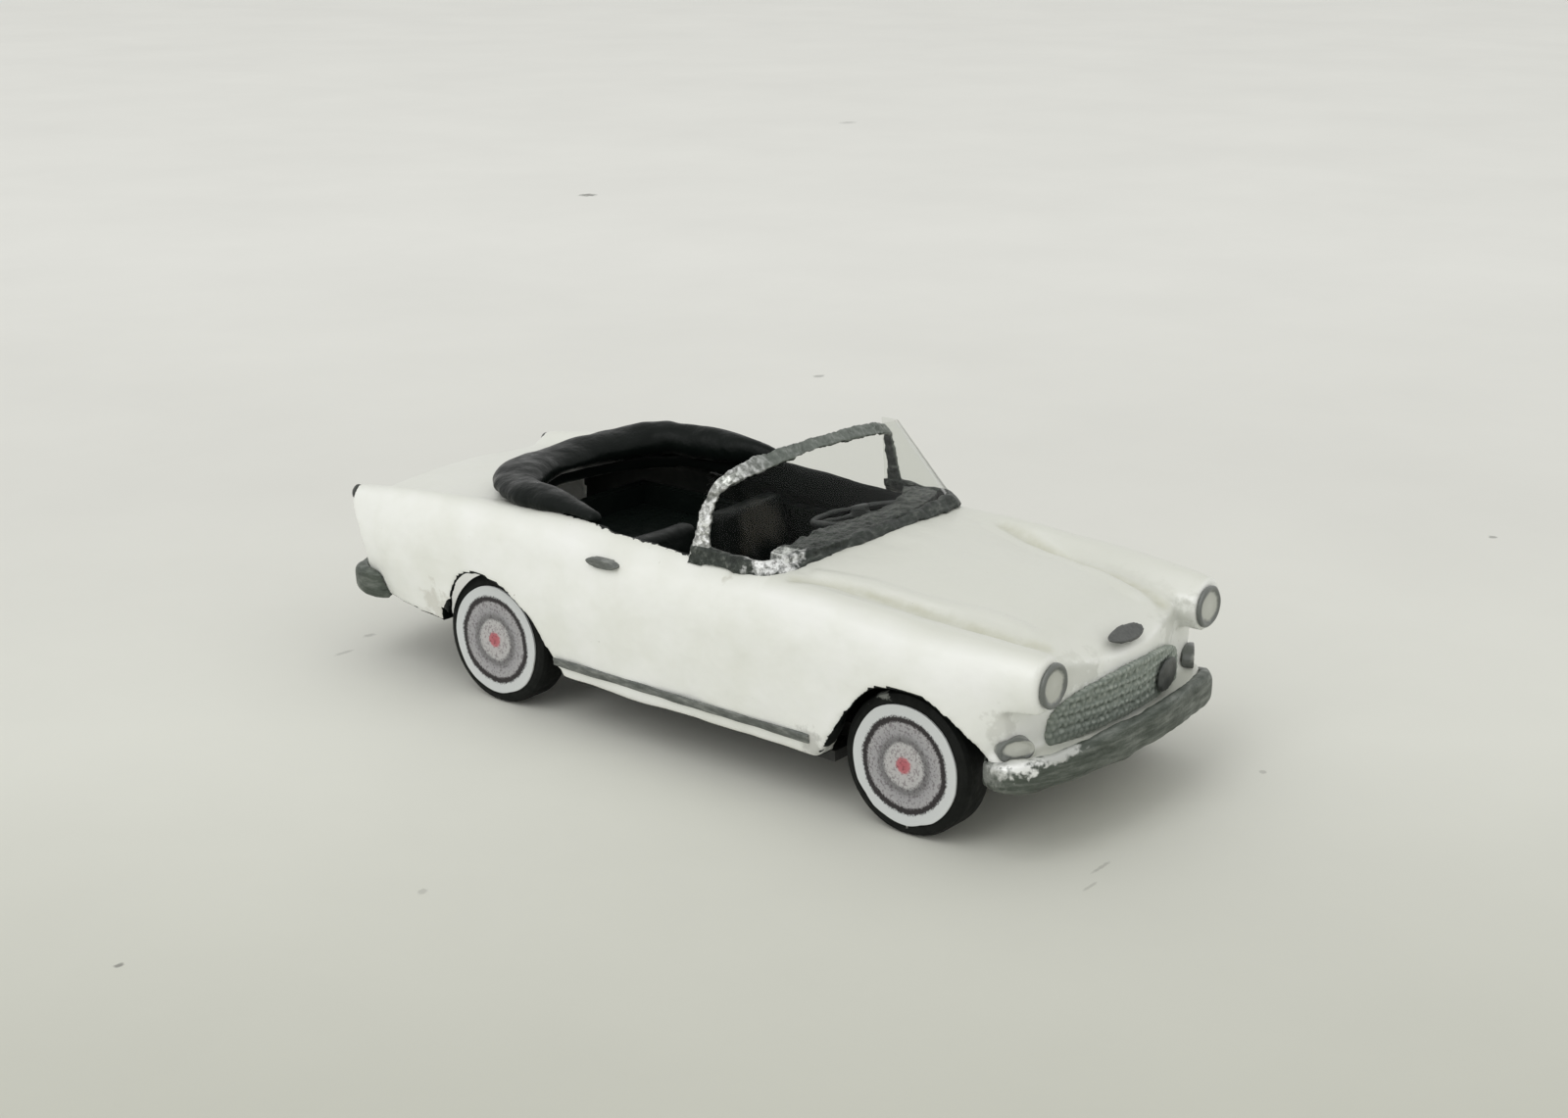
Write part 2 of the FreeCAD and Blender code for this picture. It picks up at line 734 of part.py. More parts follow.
def on_body(name, piece, label, shift):
    """Trim a piece to the body's surface and set it off by the glue between them."""
    seated = cut(name, piece, body)
    place(seated, shift)
    return keep(seated, label)


def chassis_plate():
    """The plate that closes the underside, with a bored lug for each axle."""
    pan_end_gap = mm.tyre_radius + mm.pan_wheel_gap
    pan = box(
        "chassis_pan",
        (-pan_half_width, front_axle_y + pan_end_gap, pan_bottom),
        (pan_half_width * 2, mm.wheelbase - pan_end_gap * 2, mm.pan_drop),
    )
    spine = box(
        "chassis_spine",
        (-spine_half_width, front_axle_y - mm.spine_reach, spine_bottom),
        (spine_half_width * 2, mm.wheelbase + mm.spine_reach * 2, mm.spine_thickness),
    )
    lugs = []
    bores = []
    for zone, axle_y in (("front", front_axle_y), ("rear", rear_axle_y)):
        lugs.append(box(
            f"{zone}_lug",
            (-spine_half_width, axle_y - mm.lug_length / 2, spine_bottom),
            (spine_half_width * 2, mm.lug_length, mm.spine_thickness + mm.lug_height),
        ))
        bores.append(rod(
            f"{zone}_bore",
            (-spine_half_width - mm.overrun, axle_y, mm.tyre_radius),
            mm.axle_radius + mm.axle_clearance,
            (spine_half_width + mm.overrun) * 2,
            "x",
        ))
    solid = fuse("chassis_solid", pan, spine, *lugs)
    return keep(cut("chassis_plate", solid, fuse("chassis_bores", *bores)), "chassis_plate")


def interior_tub():
    """The black tray below the cockpit, with a shallower well between the rear wheels."""
    front_y = opening_front_y - mm.tub_lead
    rear_y = rear_axle_y - mm.tyre_radius - mm.tub_wheel_gap
    cabin_length = rear_y - front_y
    well_length = opening_rear_y - mm.tub_rear_gap - rear_y
    cabin = box(
        "tub_cabin",
        (-tub_half_width, front_y, spine_top),
        (tub_half_width * 2, cabin_length, tub_top - spine_top),
    )
    well_bottom = well_floor_height - mm.tub_floor
    well = box(
        "tub_well",
        (-spine_half_width, rear_y, well_bottom),
        (spine_half_width * 2, well_length, tub_top - well_bottom),
    )
    cabin_space = box(
        "tub_cabin_space",
        (mm.tub_wall - tub_half_width, front_y + mm.tub_wall, spine_top + mm.tub_floor),
        ((tub_half_width - mm.tub_wall) * 2, cabin_length - mm.tub_wall * 2, tub_top),
    )
    well_space = box(
        "tub_well_space",
        (mm.tub_wall - spine_half_width, rear_y - mm.tub_wall * 2, well_floor_height),
        ((spine_half_width - mm.tub_wall) * 2, well_length + mm.tub_wall, tub_top),
    )
    solid = fuse("tub_solid", cabin, well)
    spaces = fuse("tub_spaces", cabin_space, well_space)
    return keep(cut("interior_tub", solid, spaces), "interior_tub")


# Side view of the dashboard: share of its depth, share of its height.
DASH_SHARES = [(0.0, 0.0), (0.0, 0.93), (0.25, 1.0), (0.60, 0.98), (0.88, 0.86), (1.0, 0.62),
               (0.93, 0.40), (0.80, 0.0)]


def dashboard():
    """A padded top roll and fascia across the front of the cockpit."""
    front_y = opening_front_y + mm.dash_lead
    outline = [
        point(-half_width, front_y + mm.dash_depth * along, tub_top + mm.dash_height * up)
        for along, up in DASH_SHARES
    ]
    edges = [
        Part.LineSegment(outline[0], outline[1]).toShape(),
        spline(outline[1:7]),
        Part.LineSegment(outline[6], outline[7]).toShape(),
        Part.LineSegment(outline[7], outline[0]).toShape(),
    ]
    roll = feature("dash_roll", prism(Part.Face(Part.Wire(edges)), X_AXIS, mm.body_width))
    fit = feature("dash_fit", opening_prism(mm.fit_gap, mm.sill_height, mm.belt_height))
    return keep(common("dashboard", roll, fit), "dashboard")


def seat(side, sign):
    """A low bucket seat: cushion and leaning back in one moulding."""
    body_part = document.addObject("PartDesign::Body", f"seat_{side}")
    depth = mm.seat_depth
    lean = mm.seat_back_lean
    outline = [
        (ZERO, ZERO),
        (depth + mm.seat_back_thickness, ZERO),
        (depth + mm.seat_back_thickness + lean, mm.seat_back_height),
        (depth + lean, mm.seat_back_height),
        (depth, mm.seat_base_height),
        (ZERO, mm.seat_base_height + mm.seat_thigh_rise),
    ]
    padding = pad(body_part, "YZ_Plane", outline, seat_width, middle=True)
    document.recompute()
    rounding = body_part.newObject("PartDesign::Fillet", f"seat_{side}_rounding")
    rounding.Base = (padding, [
        f"Edge{number}"
        for number, edge in enumerate(padding.Shape.Edges, start=1)
        if edge.BoundBox.ZMin > mm.overrun.value
    ])
    rounding.setExpression("Radius", mm.seat_rounding.formula)
    place(body_part, (
        seat_offset * sign,
        opening_front_y - mm.tub_lead + mm.seat_lead,
        spine_top + mm.tub_floor,
    ))
    return keep(body_part, f"seat_{side}")


STEERING_TILT = 25


def steering_wheel():
    """A thin rim on three spokes, with its hub and column, on the car's left side."""
    rim = document.addObject("Part::Torus", "steering_rim")
    rim.setExpression("Radius1", mm.steering_radius.formula)
    rim.setExpression("Radius2", mm.steering_rim_radius.formula)
    hub = rod(
        "steering_hub",
        (ZERO, ZERO, -mm.steering_hub_radius),
        mm.steering_hub_radius,
        mm.steering_hub_radius * 2,
        "z",
    )
    column = rod("steering_column", (ZERO, ZERO, ZERO), mm.column_radius, mm.column_length, "z")
    spokes = []
    for number, angle in enumerate((90, 210, 330)):
        spoke = rod(
            f"steering_spoke_{number}", (ZERO, ZERO, ZERO), mm.spoke_radius, mm.steering_radius,
            "z",
        )
        turn = FreeCAD.Rotation(Z_AXIS, angle) * FreeCAD.Rotation(Y_AXIS, 90)
        spoke.Placement = FreeCAD.Placement(FreeCAD.Vector(), turn)
        spokes.append(spoke)
    wheel = fuse("steering_wheel", rim, hub, column, *spokes)
    place(
        wheel,
        (seat_offset + mm.steering_shift, opening_front_y + mm.steering_lead, steering_height),
        FreeCAD.Rotation(X_AXIS, 90 + STEERING_TILT),
    )
    return keep(wheel, "steering_wheel")


def screen_edges(rise, outset):
    """The plan of the wrapped screen at a share of its height, set outwards by an outset.

    It runs from the left rear end along the side, round the corner and across the front.
    """
    fall = 1 - rise
    half = screen_half_width * fall + screen_top_half_width * rise + outset
    rear_y = screen_rear_y - mm.screen_lean * rise
    reach = mm.screen_depth * fall + mm.screen_top_depth * rise + outset
    radius = mm.screen_corner_radius * fall + mm.screen_top_corner_radius * rise + outset
    bow = mm.screen_bow * fall + mm.screen_top_bow * rise
    z = screen_foot * fall + screen_top * rise
    corner_y = rear_y - reach + bow + radius
    cut_in = radius * (1 - math.sqrt(0.5))
    left = [
        point(half, rear_y, z),
        point(half, corner_y, z),
        point(half - cut_in, corner_y - radius + cut_in, z),
        point(half - radius, corner_y - radius, z),
    ]
    right = [FreeCAD.Vector(-corner.x, corner.y, corner.z) for corner in left]
    middle = point(ZERO, rear_y - reach, z)
    return [
        Part.LineSegment(left[0], left[1]).toShape(),
        Part.Arc(left[1], left[2], left[3]).toShape(),
        Part.Arc(left[3], middle, right[3]).toShape(),
        Part.Arc(right[3], right[2], right[1]).toShape(),
        Part.LineSegment(right[1], right[0]).toShape(),
    ]


def screen_wire(rise, thickness):
    """A closed outline of the screen's thickness at a share of its height."""
    outer = screen_edges(rise, thickness / 2)
    inner = screen_edges(rise, -(thickness / 2))
    ends = [
        Part.LineSegment(outer[index].Vertexes[index].Point, inner[index].Vertexes[index].Point)
        for index in (-1, 0)
    ]
    return Part.Wire(outer + [ends[0].toShape()] + inner[::-1] + [ends[1].toShape()])


def screen_band(low, high, thickness):
    """A band of the screen between two shares of its height."""
    return Part.makeLoft([screen_wire(low, thickness), screen_wire(high, thickness)], True, True)


def screen_pillar(side, thickness):
    """The foil that edges one side of the film."""
    wires = []
    for rise in (0.0, 1.0):
        index = 0 if side > 0 else -1
        end = screen_edges(rise, ZERO)[index].Vertexes[index].Point
        across = thickness.value / 2
        corners = [
            end + FreeCAD.Vector(x * across, y, 0)
            for x, y in (
                (-1, mm.foil_thickness.value),
                (1, mm.foil_thickness.value),
                (1, (mm.foil_thickness - mm.foil_width).value),
                (-1, (mm.foil_thickness - mm.foil_width).value),
            )
        ]
        wires.append(Part.makePolygon(corners + corners[:1]))
    return Part.makeLoft(wires, True, True)


def arched_slab(low, high):
    """Everything between two distances above the arched top edge of the film."""
    curves = []
    for rise in (low, high):
        side_z = screen_corner_height + rise
        left = point(half_width, ZERO, side_z)
        right = point(-half_width, ZERO, side_z)
        curves.append(Part.Arc(left, point(ZERO, ZERO, side_z + mm.screen_arch), right).toShape())
    sides = [
        Part.LineSegment(curves[0].Vertexes[index].Point, curves[1].Vertexes[index].Point).toShape()
        for index in (0, -1)
    ]
    face = Part.Face(Part.Wire([curves[0], sides[1], curves[1], sides[0]]))
    face.translate(Y_AXIS * nose_y.value)
    return prism(face, Y_AXIS, length)


def windscreen():
    """Clear film, its silver foil frame and the darker foil along its foot."""
    height = screen_top - screen_foot
    base_share = mm.base_foil_width.value / height.value
    lap = mm.film_thickness + mm.foil_thickness * 2
    film = common(
        "film_solid",
        feature("film_band", screen_band(0.0, 1.0, mm.film_thickness)),
        feature("film_height", arched_slab(-height, ZERO)),
    )
    rail = common(
        "rail_solid",
        feature("rail_band", screen_band(base_share, 1.0, lap)),
        feature("rail_height", arched_slab(mm.foil_thickness - mm.foil_width, mm.foil_thickness)),
    )
    pillars = common(
        "pillar_solid",
        fuse(
            "pillars",
            feature("pillar_left", screen_pillar(1, lap)),
            feature("pillar_right", screen_pillar(-1, lap)),
        ),
        feature("pillar_height", arched_slab(-height, mm.foil_thickness)),
    )
    below = box(
        "foot_foil_height",
        (-half_width, nose_y, screen_foot),
        (mm.body_width, length, mm.base_foil_width),
    )
    foot_band = feature("foot_foil_band", screen_band(0.0, base_share, lap))
    foot_solid = fuse("foot_foil_solid", foot_band, common("pillar_feet", pillars, below))
    frame_solid = fuse("frame_solid", rail, cut("pillar_tops", pillars, below))
    frame_open = cut("frame_open", frame_solid, film)
    foot_open = cut("foot_foil_open", foot_solid, film)
    lift = (ZERO, ZERO, mm.glue_line)
    on_body("windscreen_film", film, "windscreen_film", lift)
    on_body("windscreen_frame", frame_open, "windscreen_frame", lift)
    on_body("windscreen_base_foil", foot_open, "windscreen_base_foil", lift)


# Path of the folded hood from its left end round the back to the centre: share of the opening's
# half width, share of its length, then half width and half height of the roll as shares of the
# opening's half width, and its drop below the crest as a share of the belt height.
HOOD_SHARES = [
    (0.951, 0.562, 0.045, 0.038, 0.054),
    (0.917, 0.622, 0.083, 0.067, 0.029),
    (0.889, 0.697, 0.118, 0.09, 0.01),
    (0.861, 0.786, 0.139, 0.097, 0.0),
    (0.792, 0.871, 0.16, 0.097, 0.0),
    (0.639, 0.935, 0.174, 0.097, 0.01),
    (0.333, 1.0, 0.187, 0.094, 0.018),
    (0.0, 1.01, 0.194, 0.094, 0.02),
]
HOOD_RINGS = 25


def hood_cover():
    """The folded hood under its padded cover, one roll round the back of the cockpit."""
    left = [(-across, *others) for across, *others in HOOD_SHARES[:-1]]
    stations = left + HOOD_SHARES[::-1]
    path = spline([
        point(
            opening_half_width * across,
            opening_front_y + opening_length * along,
            hood_crest - mm.belt_height * drop - opening_half_width * tall,
        )
        for across, along, wide, tall, drop in stations
    ])
    girth = spline([
        point(opening_half_width * wide, opening_half_width * tall, ZERO)
        for across, along, wide, tall, drop in stations
    ])
    wires = []
    for ring in range(HOOD_RINGS):
        step = path.LastParameter * ring / (HOOD_RINGS - 1)
        centre = path.valueAt(step)
        sideways = path.tangentAt(step).cross(Z_AXIS).normalize() * girth.valueAt(step).x
        upwards = Z_AXIS * girth.valueAt(step).y
        oval_ring = Part.Ellipse(centre + sideways, centre + upwards, centre)
        wires.append(Part.Wire([oval_ring.toShape()]))
    roll = feature("hood_roll", Part.makeLoft(wires, True, True))
    on_body("hood_cover", roll, "hood_cover", (ZERO, ZERO, mm.glue_line))


# Front view of half the grille from its bottom centre to its top centre: share of its half
# width, share of its height.
GRILLE_SHARES = [(1.0, -0.01), (1.01, 0.30), (0.95, 0.58), (0.81, 0.76), (0.56, 0.90),
                 (0.24, 0.975), (0, 1.0)]
GRILLE_FOOT_SHARE = 0.09


def grille_face(inset):
    """The grille's outline seen from the front, drawn inwards by an inset."""
    front = nose_y - mm.overrun
    right = [
        point(
            (grille_half_width - inset) * across,
            front,
            grille_bottom + inset + (mm.grille_height - inset * 2) * up,
        )
        for across, up in GRILLE_SHARES
    ]
    left = [FreeCAD.Vector(-corner.x, corner.y, corner.z) for corner in right[:-1]]
    foot = point(
        ZERO, front, grille_bottom + inset + (mm.grille_height - inset * 2) * GRILLE_FOOT_SHARE
    )
    top = spline(left + right[::-1])
    bottom = Part.Arc(right[0], foot, left[0]).toShape()
    return Part.Face(Part.Wire([top, bottom]))


def nose_slab(near, far):
    """A bowed slab that follows the nose, between two distances in front of it."""
    arcs = [nose_arc(-near, mm.sill_height), nose_arc(-far, mm.sill_height)]
    sides = [
        Part.LineSegment(arcs[0].Vertexes[index].Point, arcs[1].Vertexes[index].Point).toShape()
        for index in (0, -1)
    ]
    wire = Part.Wire([arcs[0], sides[1], arcs[1], sides[0]])
    return prism(Part.Face(wire), Z_AXIS, mm.belt_height)


def grille_cells():
    """The open squares between the bars, seen from the front."""
    open_side = mm.grille_pitch - mm.grille_bar
    columns = int(grille_half_width.value / mm.grille_pitch.value) + 1
    rows = int(mm.grille_height.value / mm.grille_pitch.value) + 1
    cells = []
    for column in range(-columns, columns):
        for row in range(rows):
            low = point(
                mm.grille_pitch * column + mm.grille_bar / 2,
                nose_y - mm.overrun,
                grille_bottom + mm.grille_pitch * row + mm.grille_bar / 2,
            )
            right = low + X_AXIS * open_side.value
            corners = [
                low, right, right + Z_AXIS * open_side.value, low + Z_AXIS * open_side.value,
            ]
            cells.append(Part.Face(Part.makePolygon(corners + corners[:1])))
    return Part.makeCompound(cells)


def grille():
    """An egg-crate grille: crossed bars and a rim on a bowed plate."""
    gap = mm.glue_line
    cells = grille_face(mm.grille_rim).common(grille_cells())
    bars = prism(grille_face(ZERO).cut(cells), Y_AXIS, mm.front_overhang)
    lattice = common(
        "grille_lattice",
        feature("grille_bars", bars),
        feature(
            "grille_relief",
            nose_slab(gap + mm.grille_plate, gap + mm.grille_plate + mm.grille_relief),
        ),
    )
    plate = common(
        "grille_backing",
        feature("grille_outline", prism(grille_face(ZERO), Y_AXIS, mm.front_overhang)),
        feature("grille_plate", nose_slab(gap, gap + mm.grille_plate)),
    )
    return keep(fuse("grille", plate, lattice), "grille")


def oval(name, half_wide, half_tall, depth):
    """A flat oval plate standing in the XZ plane, its front face towards -Y."""
    outline = document.addObject("Part::Ellipse", f"{name}_outline")
    wide = half_wide.value >= half_tall.value
    outline.setExpression("MajorRadius", (half_wide if wide else half_tall).formula)
    outline.setExpression("MinorRadius", (half_tall if wide else half_wide).formula)
    outline.Placement = FreeCAD.Placement(
        FreeCAD.Vector(), FreeCAD.Rotation(Z_AXIS, 0 if wide else 90)
    )
    plate = document.addObject("Part::Extrusion", name)
    plate.Base = outline
    plate.DirMode = "Custom"
    plate.Dir = Z_AXIS
    plate.Solid = True
    plate.setExpression("LengthFwd", depth.formula)
    return plate


def ringed_oval(name, half_wide, half_tall, depth):
    """An oval lamp with a raised ring round a slightly sunk lens."""
    outer = oval(f"{name}_solid", half_wide, half_tall, depth)
    inner = oval(
        f"{name}_sunk", half_wide - mm.lamp_ring, half_tall - mm.lamp_ring, mm.lamp_recess * 2
    )
    place(inner, (ZERO, ZERO, depth - mm.lamp_recess))
    return cut(f"{name}_lamp", outer, inner)


SIDELIGHT_TURN = 33
BADGE_TILT = 58
FACING_FORWARD = FreeCAD.Rotation(X_AXIS, 90)
FACING_BACK = FreeCAD.Rotation(Z_AXIS, 180) * FACING_FORWARD


# Profile of a headlamp from its lens to its rim: share of its depth, and how many times the
# ring's width the point lies inside the rim.
HEADLAMP_CENTRE_SHARE = 0.55
HEADLAMP_RING_SHARES = [(0.45, 2), (0.8, 1), (0.6, 0)]


def lamps():
    """Headlamps, side lights and tail lamps, right side first and then mirrored."""
    nose_face_y = station("front", BODY_SHARES[0][1])
    turned = document.addObject("PartDesign::Body", "headlamp_turned")
    outline = [
        (ZERO, ZERO),
        (mm.headlamp_depth * HEADLAMP_CENTRE_SHARE, ZERO),
        *(
            (mm.headlamp_depth * out, mm.headlamp_radius - mm.headlamp_ring * rings)
            for out, rings in HEADLAMP_RING_SHARES
        ),
        (ZERO, mm.headlamp_radius),
    ]
    revolve(turned, "XY_Plane", outline)
    place(
        turned,
        (-headlamp_offset, nose_face_y - mm.glue_line, headlamp_height),
        FreeCAD.Rotation(Z_AXIS, -90),
    )
    keep(turned, "headlamp_right")
    keep(mirrored("headlamp_left", turned), "headlamp_left")

    sidelight = ringed_oval(
        "sidelight", mm.sidelight_half_width, mm.sidelight_half_height, mm.sidelight_depth
    )
    place(
        sidelight,
        (
            -sidelight_offset,
            nose_y + mm.sidelight_gap + mm.sidelight_depth / 2,
            sidelight_height,
        ),
        FreeCAD.Rotation(Z_AXIS, -SIDELIGHT_TURN) * FACING_FORWARD,
    )
    right = on_body(
        "sidelight_right", sidelight, "sidelight_right", (ZERO, -mm.glue_line, ZERO)
    )
    keep(mirrored("sidelight_left", right), "sidelight_left")

    tail = ringed_oval(
        "tail", mm.tail_lamp_half_width, mm.tail_lamp_half_height, mm.tail_lamp_depth
    )
    tail_face_y = station("rear", TAIL_SHARES[0][0])
    place(
        tail,
        (-tail_lamp_offset, tail_face_y + mm.glue_line, tail_lamp_height),
        FACING_BACK,
    )
    keep(tail, "tail_lamp_right")
    keep(mirrored("tail_lamp_left", tail), "tail_lamp_left")


def small_trim():
    """Plain badges, door handles and sill strips."""
    badge = oval("badge_plate", mm.badge_half_width, mm.badge_half_height, mm.badge_depth)
    place(
        badge,
        (ZERO, nose_y + mm.badge_gap, badge_height - mm.badge_depth / 2),
        FreeCAD.Rotation(X_AXIS, 90 - BADGE_TILT),
    )
    on_body("bonnet_badge", badge, "bonnet_badge", (ZERO, -mm.glue_line, mm.glue_line))

    emblem_stack = mm.glue_line * 2 + mm.grille_plate + mm.grille_relief
    emblem_slab = feature("emblem_slab", nose_slab(emblem_stack, emblem_stack + mm.emblem_depth))
    emblem_oval = oval(
        "emblem_oval", mm.emblem_half_width, mm.emblem_half_height, mm.front_overhang
    )
    place(
        emblem_oval,
        (emblem_offset, nose_y + mm.front_overhang, emblem_height),
        FACING_FORWARD,
    )
    keep(common("grille_badge", emblem_oval, emblem_slab), "grille_badge")

    handle = oval(
        "handle_plate", mm.handle_half_length, mm.handle_half_height, mm.handle_depth
    )
    place(
        handle,
        (mm.handle_depth - handle_reach, door_rear_y - mm.handle_rear_gap, handle_height),
        FreeCAD.Rotation(Z_AXIS, -90) * FACING_FORWARD,
    )
    side_shift = (-mm.glue_line, ZERO, ZERO)
    right = on_body("door_handle_right", handle, "door_handle_right", side_shift)
    keep(mirrored("door_handle_left", right), "door_handle_left")

    strip_y = front_axle_y + mm.front_arch_radius + mm.sill_trim_front_gap
    strip_end_y = rear_axle_y - mm.rear_arch_radius - mm.sill_trim_rear_gap
    strip_length = strip_end_y - strip_y
    slope_share = (BODY_SHARES[4][2][1][0] - BODY_SHARES[4][2][0][0]) / (
        BODY_SHARES[4][2][1][1] - BODY_SHARES[4][2][0][1]
    )

    def side_x(z):
        rise = z.value / mm.belt_height.value - BODY_SHARES[4][2][0][1]
        return half_width * (BODY_SHARES[4][2][0][0] + rise * slope_share)

    low = sill_trim_bottom
    high = sill_trim_bottom + mm.sill_trim_height
    corners = [
        point(-pan_half_width, strip_y, low),
        point(-side_x(low) - mm.sill_trim_depth, strip_y, low),
        point(-side_x(high) - mm.sill_trim_depth, strip_y, high),
        point(-pan_half_width, strip_y, high),
    ]
    strip_face = Part.Face(Part.makePolygon(corners + corners[:1]))
    strip = feature("sill_strip", prism(strip_face, Y_AXIS, strip_length))
    inner = box(
        "sill_inner",
        (-half_width + mm.body_wall, strip_y - mm.overrun, low - mm.overrun),
        (mm.body_wall * 2, strip_length + mm.overrun * 2, high),
    )
    outer_strip = cut("sill_strip_outer", strip, inner)
    right = on_body("sill_trim_right", outer_strip, "sill_trim_right", side_shift)
    keep(mirrored("sill_trim_left", right), "sill_trim_left")


def droop_cutter():
    """The space above the ends of the front bumper, which fall towards the wheels."""
    top = front_bumper_bottom + mm.front_bumper_height
    side = half_width + mm.overrun
    high_y, low_y = (station("front", along) for along in BUMPER_DROOP_SHARES)
    corners = [
        point(-side, high_y, top),
        point(-side, low_y, top - mm.front_bumper_droop),
        point(-side, low_y, top + mm.overrun),
        point(-side, high_y, top + mm.overrun),
    ]
    return prism(Part.Face(Part.makePolygon(corners + corners[:1])), X_AXIS, side * 2)


def bumpers():
    """Silver bars round both ends of the car."""
    front_bar = bumper_solid(
        FRONT_BUMPER_SHARES, "front", mm.front_overhang, front_bumper_bottom,
        mm.front_bumper_height,
    )
    rear_bar = bumper_solid(
        REAR_BUMPER_SHARES, "rear", mm.rear_overhang, rear_bumper_bottom, mm.rear_bumper_height
    )
    drooped = cut(
        "front_bar_drooped", feature("front_bar", front_bar), feature("droop", droop_cutter())
    )
    seated = (ZERO, ZERO, ZERO)
    on_body("front_bumper", drooped, "front_bumper", seated)
    on_body("rear_bumper", feature("rear_bar", rear_bar), "rear_bumper", seated)


# A tyre's rounded shoulder is cut off at this share of its depth.
SHOULDER_SHARE = 0.3


def wheel_pieces(zone, side, axle_y, centre_x, turn):
    """One wheel, its tyre and the printed disc on its face, about its own centre."""
    half = mm.tyre_width / 2
    bevel = mm.tyre_shoulder * SHOULDER_SHARE
    where = (centre_x, axle_y, mm.tyre_radius)
    tyre = document.addObject("PartDesign::Body", f"{zone}_tyre_{side}")
    revolve(tyre, "XY_Plane", [
        (-half, mm.rim_radius),
        (-half, mm.tyre_radius - mm.tyre_shoulder),
        (bevel - half, mm.tyre_radius - bevel),
        (mm.tyre_shoulder - half, mm.tyre_radius),
        (half - mm.tyre_shoulder, mm.tyre_radius),
        (half - bevel, mm.tyre_radius - bevel),
        (half, mm.tyre_radius - mm.tyre_shoulder),
        (half, mm.rim_radius),
    ])
    place(tyre, where, turn)
    keep(tyre, f"{zone}_tyre_{side}")
    wheel = document.addObject("PartDesign::Body", f"{zone}_wheel_{side}")
    revolve(wheel, "XY_Plane", [
        (-half - mm.hub_length, mm.axle_radius),
        (-half - mm.hub_length, mm.hub_radius),
        (mm.rim_dish - half, mm.hub_radius),
        (mm.rim_dish - half, mm.rim_radius - mm.rim_dish),
        (-half, mm.rim_radius - mm.tyre_shoulder),
        (-half, mm.rim_radius),
        (half, mm.rim_radius),
        (half, ZERO),
        (half - mm.rim_dish, ZERO),
        (half - mm.rim_dish, mm.axle_radius),
    ])
    place(wheel, where, turn)
    keep(wheel, f"{zone}_wheel_{side}")
    disc = document.addObject("PartDesign::Body", f"{zone}_wheel_disc_{side}")
    revolve(disc, "XY_Plane", [
        (half, ZERO),
        (half, mm.disc_radius),
        (half + mm.disc_thickness, mm.disc_radius),
        (half + mm.disc_thickness, ZERO),
    ])
    place(disc, where, turn)
    keep(disc, f"{zone}_wheel_disc_{side}")


def running_gear():
    """Two plain axles, each with a wheel, tyre and printed disc at both ends."""
    for zone, axle_y, track in (
        ("front", front_axle_y, front_track),
        ("rear", rear_axle_y, rear_track),
    ):
        inner_end = track / 2 + mm.tyre_width / 2 - mm.rim_dish
        axle = rod(
            f"{zone}_axle", (-inner_end, axle_y, mm.tyre_radius), mm.axle_radius, inner_end * 2,
            "x",
        )
        keep(axle, f"{zone}_axle")
        wheel_pieces(zone, "left", axle_y, track / 2, FreeCAD.Rotation())
        wheel_pieces(zone, "right", axle_y, -(track / 2), FreeCAD.Rotation(Z_AXIS, 180))


body = body_shell()
chassis_plate()
interior_tub()
dashboard()
seat("left", 1)
seat("right", -1)
steering_wheel()
windscreen()
hood_cover()
bumpers()
grille()
lamps()
small_trim()
running_gear()
document.recompute()

failed = [
    item.Name for item in document.Objects if "Invalid" in item.State or "Error" in item.State
]
if failed:
    raise RuntimeError(f"these objects failed: {failed}")
os.makedirs("parts", exist_ok=True)
for piece in nodes:
    shape = piece.Shape
    if shape.isNull() or not shape.isValid() or not shape.Solids:
        raise RuntimeError(f"{piece.Label} has no valid solid")
for piece in nodes:
    piece.Shape.exportStep(f"parts/{piece.Label}.step")
print(len(nodes), "pieces")
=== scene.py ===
"""Looks of a small hand-painted scale model of an open two-seater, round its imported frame."""

import json
import math

import bmesh
import bpy
from mathutils import Matrix, Vector, noise


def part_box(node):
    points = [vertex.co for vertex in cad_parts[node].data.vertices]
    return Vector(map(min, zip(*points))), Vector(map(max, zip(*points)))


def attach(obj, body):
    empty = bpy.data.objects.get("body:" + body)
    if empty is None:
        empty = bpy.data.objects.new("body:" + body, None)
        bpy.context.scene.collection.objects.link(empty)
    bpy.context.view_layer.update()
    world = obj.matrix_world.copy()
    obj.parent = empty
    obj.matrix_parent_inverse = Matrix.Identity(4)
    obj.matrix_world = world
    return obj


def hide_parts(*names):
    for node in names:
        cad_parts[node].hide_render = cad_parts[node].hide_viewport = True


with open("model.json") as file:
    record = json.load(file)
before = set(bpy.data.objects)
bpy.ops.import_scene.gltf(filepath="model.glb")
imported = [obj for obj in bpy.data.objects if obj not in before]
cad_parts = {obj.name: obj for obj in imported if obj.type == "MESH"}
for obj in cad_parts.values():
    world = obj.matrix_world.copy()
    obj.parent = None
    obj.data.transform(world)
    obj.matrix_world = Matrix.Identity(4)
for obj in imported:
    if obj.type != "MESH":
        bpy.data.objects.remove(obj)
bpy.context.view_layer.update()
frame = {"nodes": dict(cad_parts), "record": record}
nodes = frame["nodes"]

MM = 0.001

# Camera, fitted to the photograph's view.
CAMERA_PLACE = Vector((-83.556, -67.683, 42.204)) * MM
CAMERA_AZIMUTH = math.radians(-51.499)
CAMERA_ELEVATION = math.radians(17.798)
CAMERA_ROLL = math.radians(0.363)
CAMERA_LENS = 52.82
CAMERA_NEAR = 1 * MM


